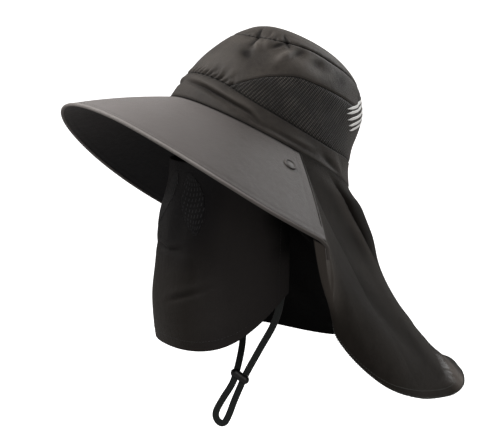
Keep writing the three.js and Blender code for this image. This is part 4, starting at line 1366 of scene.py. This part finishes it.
def spline(points, count):
    """Smooth curve through points, with slopes after the square roots of their distances, at even lengths."""
    p = np.concatenate([2 * points[:1] - points[1:2], points, 2 * points[-1:] - points[-2:-1]])
    d = np.sqrt(np.linalg.norm(np.diff(p, axis=0), axis=1))[:, None]
    d0, d1, d2 = d[:-2], d[1:-1], d[2:]
    a, b, c, e = p[:-3], p[1:-2], p[2:-1], p[3:]
    first = ((b - a) / d0 - (c - a) / (d0 + d1) + (c - b) / d1) * d1
    last = ((c - b) / d1 - (e - b) / (d1 + d2) + (e - c) / d2) * d1
    t = np.linspace(0, 1, 60, endpoint=False)[None, :, None]
    curve = (2 * t**3 - 3 * t**2 + 1) * b[:, None] + (3 * t**2 - 2 * t**3) * c[:, None]
    curve = curve + (t**3 - 2 * t**2 + t) * first[:, None] + (t**3 - t**2) * last[:, None]
    curve = np.concatenate([curve.reshape(-1, 3), points[-1:]])
    run = lengths(curve[:, None], 0)[:, 0]
    at = np.linspace(0, run[-1], count)
    return np.stack([np.interp(at, run, curve[:, i]) for i in range(3)], -1), run[-1]


def make_cord(finishes):
    """Flat chin cord from the mouth's left side, under the chin and through the slider, to its right side."""
    out, across, down = cord_frame()
    middle = np.array([0.0, SLIDER["back"], -SLIDER["down"]])
    loop = middle + LOOP["across"][:, None] * across + LOOP["down"][:, None] * down
    left = xyz(STRAND["out"], STRAND["back"], -STRAND["down"])
    right = left[::-1] * np.array([-1, 1, 1])
    ends = [cord_sewn(side) for side in (1, -1)]
    route = np.concatenate([ends[0][0][None], left, loop, right, ends[1][0][None]])
    path, length = spline(route, 520)
    path = smooth_line(path, 7)
    on_left = (path[:, 0] > 0)[:, None]
    near = np.maximum(1 - (ends[0][0][2] - path[:, 2]) / 50, 0)[:, None]
    normals = unit(out * (1 - near) + np.where(on_left, ends[0][1], ends[1][1]) * near)
    cord = sweep("cord", path, normals, CORD_WIDE, CORD_THICK, 16, power=3.0)
    dress(cord, finishes["cord"], "cord", "chin_cord")
    lie = across * np.cos(SLIDER["turn"]) + down * np.sin(SLIDER["turn"])
    t = np.linspace(-1, 1, 41)
    reach = SLIDER["wide"] / 2 * 0.99
    bead = middle + lie * (np.sin(t * np.pi / 2) * reach)[:, None]
    past = np.maximum(np.abs(np.sin(t * np.pi / 2)) - 0.55, 0)
    swell = np.sqrt(np.maximum(1 - past**2 / 0.45**2, 0.002)) * (1 - 0.1 * bump(t / 0.2))
    flat = np.repeat(out[None], len(t), 0)
    slider = sweep("bead", bead, flat, SLIDER["high"], SLIDER["thick"], 28, swell=swell)
    dress(slider, finishes["slider"], "slider", "cord_slider")


def stitch_brim(finishes):
    """Two rows of thread along the brim's rim and two along each of its rear edges."""
    rows = []
    q = np.linspace(-0.985, 0.985, 400)
    for way in (0.945, 0.972):
        n = facing(brim_at, q * brim_end(way), way + 0 * q, 0.2, 0.004)
        rows.append(stitch_row(brim_fine(q, way + 0 * q), n, 3.0, 2.1, 0.42, lift=-0.05))
    way = np.linspace(0.04, 0.95, 60)
    for side in (-1, 1):
        for inset in (0.978, 0.957):
            n = facing(brim_at, side * inset * brim_end(way), way, 0.2, 0.004)
            line = brim_fine(side * inset + 0 * way, way)
            rows.append(stitch_row(line, n, 3.0, 2.1, 0.42, lift=-0.05))
    dress(stitches("brim_thread", rows), finishes["brim_thread"], "brim_cloth")


def stitch_crown(finishes):
    """Rows of thread under the band's top, over the mesh panel on each side, and round the mouth."""
    degs = np.linspace(-178, 178, 500)
    rows = []
    for level, low in (
        (band_top(degs) - 0.012, 0),
        (mesh_top(degs) + 0.014, MESH_STARTS + 1),
        (0.012 + 0 * degs, 0),
    ):
        kept = np.flatnonzero(np.abs(degs) >= low)
        for part in np.split(kept, np.flatnonzero(np.diff(kept) > 1) + 1):
            n = facing(crown_at, degs[part], level[part], 0.5, 0.004)
            rows.append(stitch_row(crown_fine(degs[part], level[part]), n, 3.2, 2.2, 0.36, lift=-0.02))
    dress(stitches("crown_thread", rows), finishes["crown_thread"], "crown_cloth")


def stitch_cape(finishes, points):
    """Slanting thread round the cape's hem and a straight row beside it."""
    n = grid_normals(points, False, False)
    hem = points[6:-6, -4] + (points[6:-6, -1] - points[6:-6, -4]) * 0.2
    rows = [
        stitch_row(hem, n[6:-6, -4], 2.4, 2.6, 0.5, lift=0.15, slant=1.25),
        stitch_row(points[6:-6, -8], n[6:-6, -8], 3.4, 2.2, 0.4, lift=0.05),
    ]
    thread = dress(stitches("cape_hem_thread", rows), finishes["hem_thread"], "cape_cloth")


def stitch_mask(finishes, points, patches):
    """Thread along the mask's four edges and round its patches."""
    n = grid_normals(points, False, False)
    rows = []
    for place in (np.s_[4:-4, -8], np.s_[4:-4, 8], np.s_[8, 6:-6], np.s_[-9, 6:-6]):
        rows.append(stitch_row(points[place], n[place], 3.2, 2.2, 0.36, lift=0.05))
    down = np.linspace(0, 1, 80)
    for side in (1, -1):
        for edge in (-1, 1):
            u, v = patch_place(side, edge, down, PATCH["thread"])
            n = facing(mask_at, u, v, 0.004, 0.01)
            rows.append(stitch_row(mask_fine(u, v), n, 3.0, 2.0, 0.36, lift=0.1))
    thread = dress(stitches("mask_thread", rows), finishes["mask_thread"], "mask_cloth")
    patches + [thread]


def make_stage():
    """Wide white bowl under and around the hat: a flat floor that turns up into a wall all round."""
    steps, sides = 60, 96
    t = np.linspace(0, 1, steps)
    radius = np.interp(t, [0, 0.5, 1], [0, FLOOR["flat"], FLOOR["wall"]])
    height = np.where(t < 0.5, 0, FLOOR["high"] * ((t - 0.5) / 0.5) ** 2)
    w = (np.arange(sides) / sides * 2 * np.pi)[:, None]
    points = xyz(radius * np.cos(w), radius * np.sin(w), height - FLOOR["below"])
    index = np.arange(sides * steps).reshape(sides, steps)
    index[:, 0] = 0
    k = (np.arange(sides) + 1) % sides
    cell = np.stack([index[:, :-1], index[k][:, :-1], index[k][:, 1:], index[:, 1:]], -1)
    faces = [cell[:, 1:].reshape(-1, 4), cell[:, 0][:, [0, 2, 3]]]
    uvs = [np.zeros((len(f), f.shape[1], 2)) for f in faces]
    floor = write_mesh("studio_floor", points.reshape(-1, 3), faces, uvs)
    material = bpy.data.materials.new("studio_white")
    material.use_nodes = True
    shader = material.node_tree.nodes["Principled BSDF"]
    shader.inputs["Base Color"].default_value = colour(0.9, 0.9, 0.9)
    shader.inputs["Roughness"].default_value = 0.9
    shader.inputs["Emission Color"].default_value = colour(1, 1, 1)
    shader.inputs["Emission Strength"].default_value = 1.0
    floor.data.materials.append(material)
    floor.visible_diffuse = False
    floor.visible_glossy = False
    floor.visible_shadow = False


def make_light():
    """Soft lamps around the hat, each aimed at its middle, and an even, pale sky."""
    for name, azimuth, elevation, distance, size, power, tint in LAMPS:
        toward = toward_place(azimuth, elevation)
        lamp = bpy.data.objects.new(f"lamp_{name}", bpy.data.lights.new(f"lamp_{name}", "AREA"))
        bpy.context.scene.collection.objects.link(lamp)
        lamp.data.shape = "DISK"
        lamp.data.size = size
        lamp.data.energy = power
        lamp.data.color = tint
        lamp.location = Vector(LAMPS_AIM) + toward * distance
        lamp.rotation_euler = toward.to_track_quat("Z", "Y").to_euler()
    world = bpy.data.worlds.new("studio_sky")
    world.use_nodes = True
    background = world.node_tree.nodes["Background"]
    background.inputs["Color"].default_value = colour(1.0, 0.97, 0.95)
    background.inputs["Strength"].default_value = SKY_STRENGTH
    bpy.context.scene.world = world
    bpy.context.scene.view_settings.view_transform = "Standard"


def make_finishes():
    """Every material of the hat."""
    return {
        # Crown and band: painted shade in the creases and a painted highlight on the crests.
        "crown": cloth_finish(
            "crown_cloth", colour(0.03, 0.0257, 0.022), colour(0.052, 0.0445, 0.038), 0.55, seam=0.85,
            fields=(
                ("crease", colour(0.007, 0.0055, 0.0045), 0.7),
                ("crest_highlight", colour(0.085, 0.075, 0.066), 0.5),
            ),
        ),
        "band": cloth_finish(
            "band_cloth", colour(0.023, 0.0195, 0.0168), colour(0.04, 0.0345, 0.03), 0.6, seam=1.0,
            fields=(
                ("crease", colour(0.008, 0.0065, 0.0055), 0.7),
                ("crest_highlight", colour(0.06, 0.0525, 0.046), 0.6),
            ),
        ),
        # Cape: its near black inner side is painted shade, and its fields are painted light and shade.
        "cape": cloth_finish(
            "cape_cloth", colour(0.0145, 0.0123, 0.0103), colour(0.022, 0.0188, 0.016), 0.6, sheen=0.03,
            inside=colour(0.0004, 0.0004, 0.0004), specular=0.06,
            fields=(
                ("front", colour(0.062, 0.054, 0.047), 0.6),
                ("middle", colour(0.0105, 0.0088, 0.0072), 0.6),
                ("ridge_highlight", colour(0.036, 0.031, 0.0265), 0.6),
                ("fold", colour(0.0045, 0.003, 0.002), 0.7),
                ("curl_highlight", colour(0.055, 0.04, 0.03), 0.42),
            ),
            gloss_field="curl_highlight",
        ),
        # Mask: the low and middle fields are painted light, the rear field is the brim's painted shadow.
        "mask": cloth_finish(
            "mask_cloth", colour(0.009, 0.0082, 0.0098), colour(0.0135, 0.0123, 0.0138), 0.62, sheen=0.03,
            inside=colour(0.003, 0.003, 0.003), specular=0.12,
            fields=(
                ("low", colour(0.0145, 0.0122, 0.0105), 0.62),
                ("middle", colour(0.025, 0.0222, 0.0215), 0.62),
                ("rear_shade", colour(0.0006, 0.0006, 0.0006), 0.7),
            ),
        ),
        # Brim: its light grey top is partly its own colour and partly painted sheen and light.
        "brim": cloth_finish(
            "brim_cloth", colour(0.165, 0.153, 0.149), colour(0.178, 0.166, 0.163), 0.5, seam=0.2,
            inside=colour(0.024, 0.0195, 0.0195), inside_field=("rear_shade", colour(0.003, 0.0026, 0.0042)),
            fields=(
                ("rear_shade", colour(0.062, 0.0545, 0.052), 0.5),
                # Painted shade at the mouth, under the band.
                ("mouth_shade", colour(0.002, 0.002, 0.002), 0.8),
            ),
        ),
        "mesh": mesh_finish(
            "crown_mesh", colour(0.006, 0.0052, 0.0045), colour(0.062, 0.054, 0.046), 3.0, turn=-0.35,
        ),
        "patch": dash_finish("cheek_mesh", colour(0.0045, 0.004, 0.005), colour(0.042, 0.04, 0.044)),
        # Binding: its light colour is partly its own and partly a painted highlight; darker to the back as
        # painted shade.
        "binding": cloth_finish(
            "edge_tape", colour(0.21, 0.195, 0.187), colour(0.25, 0.234, 0.225), 0.8, seam=0.0, specular=0.05,
            fields=(((-150, -20), colour(0.085, 0.077, 0.072), 0.8),),
        ),
        "cord": tape_finish("cord_weave", colour(0.006, 0.009, 0.009), colour(0.022, 0.028, 0.027), 2.2),
        "slider": plain_finish(
            "slider_plastic", colour(0.006, 0.006, 0.006), colour(0.010, 0.010, 0.010), 0.35,
        ),
        "cap": plain_finish(
            "snap_cap", colour(0.055, 0.049, 0.046), colour(0.075, 0.067, 0.063), 0.6, 0.8, 0.05,
        ),
        "socket": plain_finish(
            "snap_socket", colour(0.01, 0.01, 0.01), colour(0.02, 0.02, 0.02), 0.35, 0.8, 0.05,
        ),
        "bar": plain_finish("light_bar", colour(0.8, 0.79, 0.77), colour(0.9, 0.89, 0.87), 0.4, 0.6, 0.08),
        "brim_thread": thread_finish(
            "brim_thread", colour(0.05, 0.045, 0.042), colour(0.08, 0.072, 0.067),
        ),
        "crown_thread": thread_finish(
            "crown_thread", colour(0.012, 0.01, 0.009), colour(0.022, 0.019, 0.016),
        ),
        "hem_thread": thread_finish(
            "hem_thread", colour(0.06, 0.066, 0.062), colour(0.11, 0.118, 0.11),
        ),
        "mask_thread": thread_finish(
            "mask_thread", colour(0.012, 0.012, 0.013), colour(0.02, 0.02, 0.021),
        ),
    }


place_camera()
finishes = make_finishes()
make_cord(finishes)
make_crown(finishes)
make_bars(finishes)
make_brim(finishes)
cape, cape_points = make_cape(finishes)
mask, mask_points, patches = make_mask(finishes)
make_snaps(finishes)
stitch_brim(finishes)
stitch_crown(finishes)
stitch_cape(finishes, cape_points)
stitch_mask(finishes, mask_points, patches)
make_stage()
make_light()
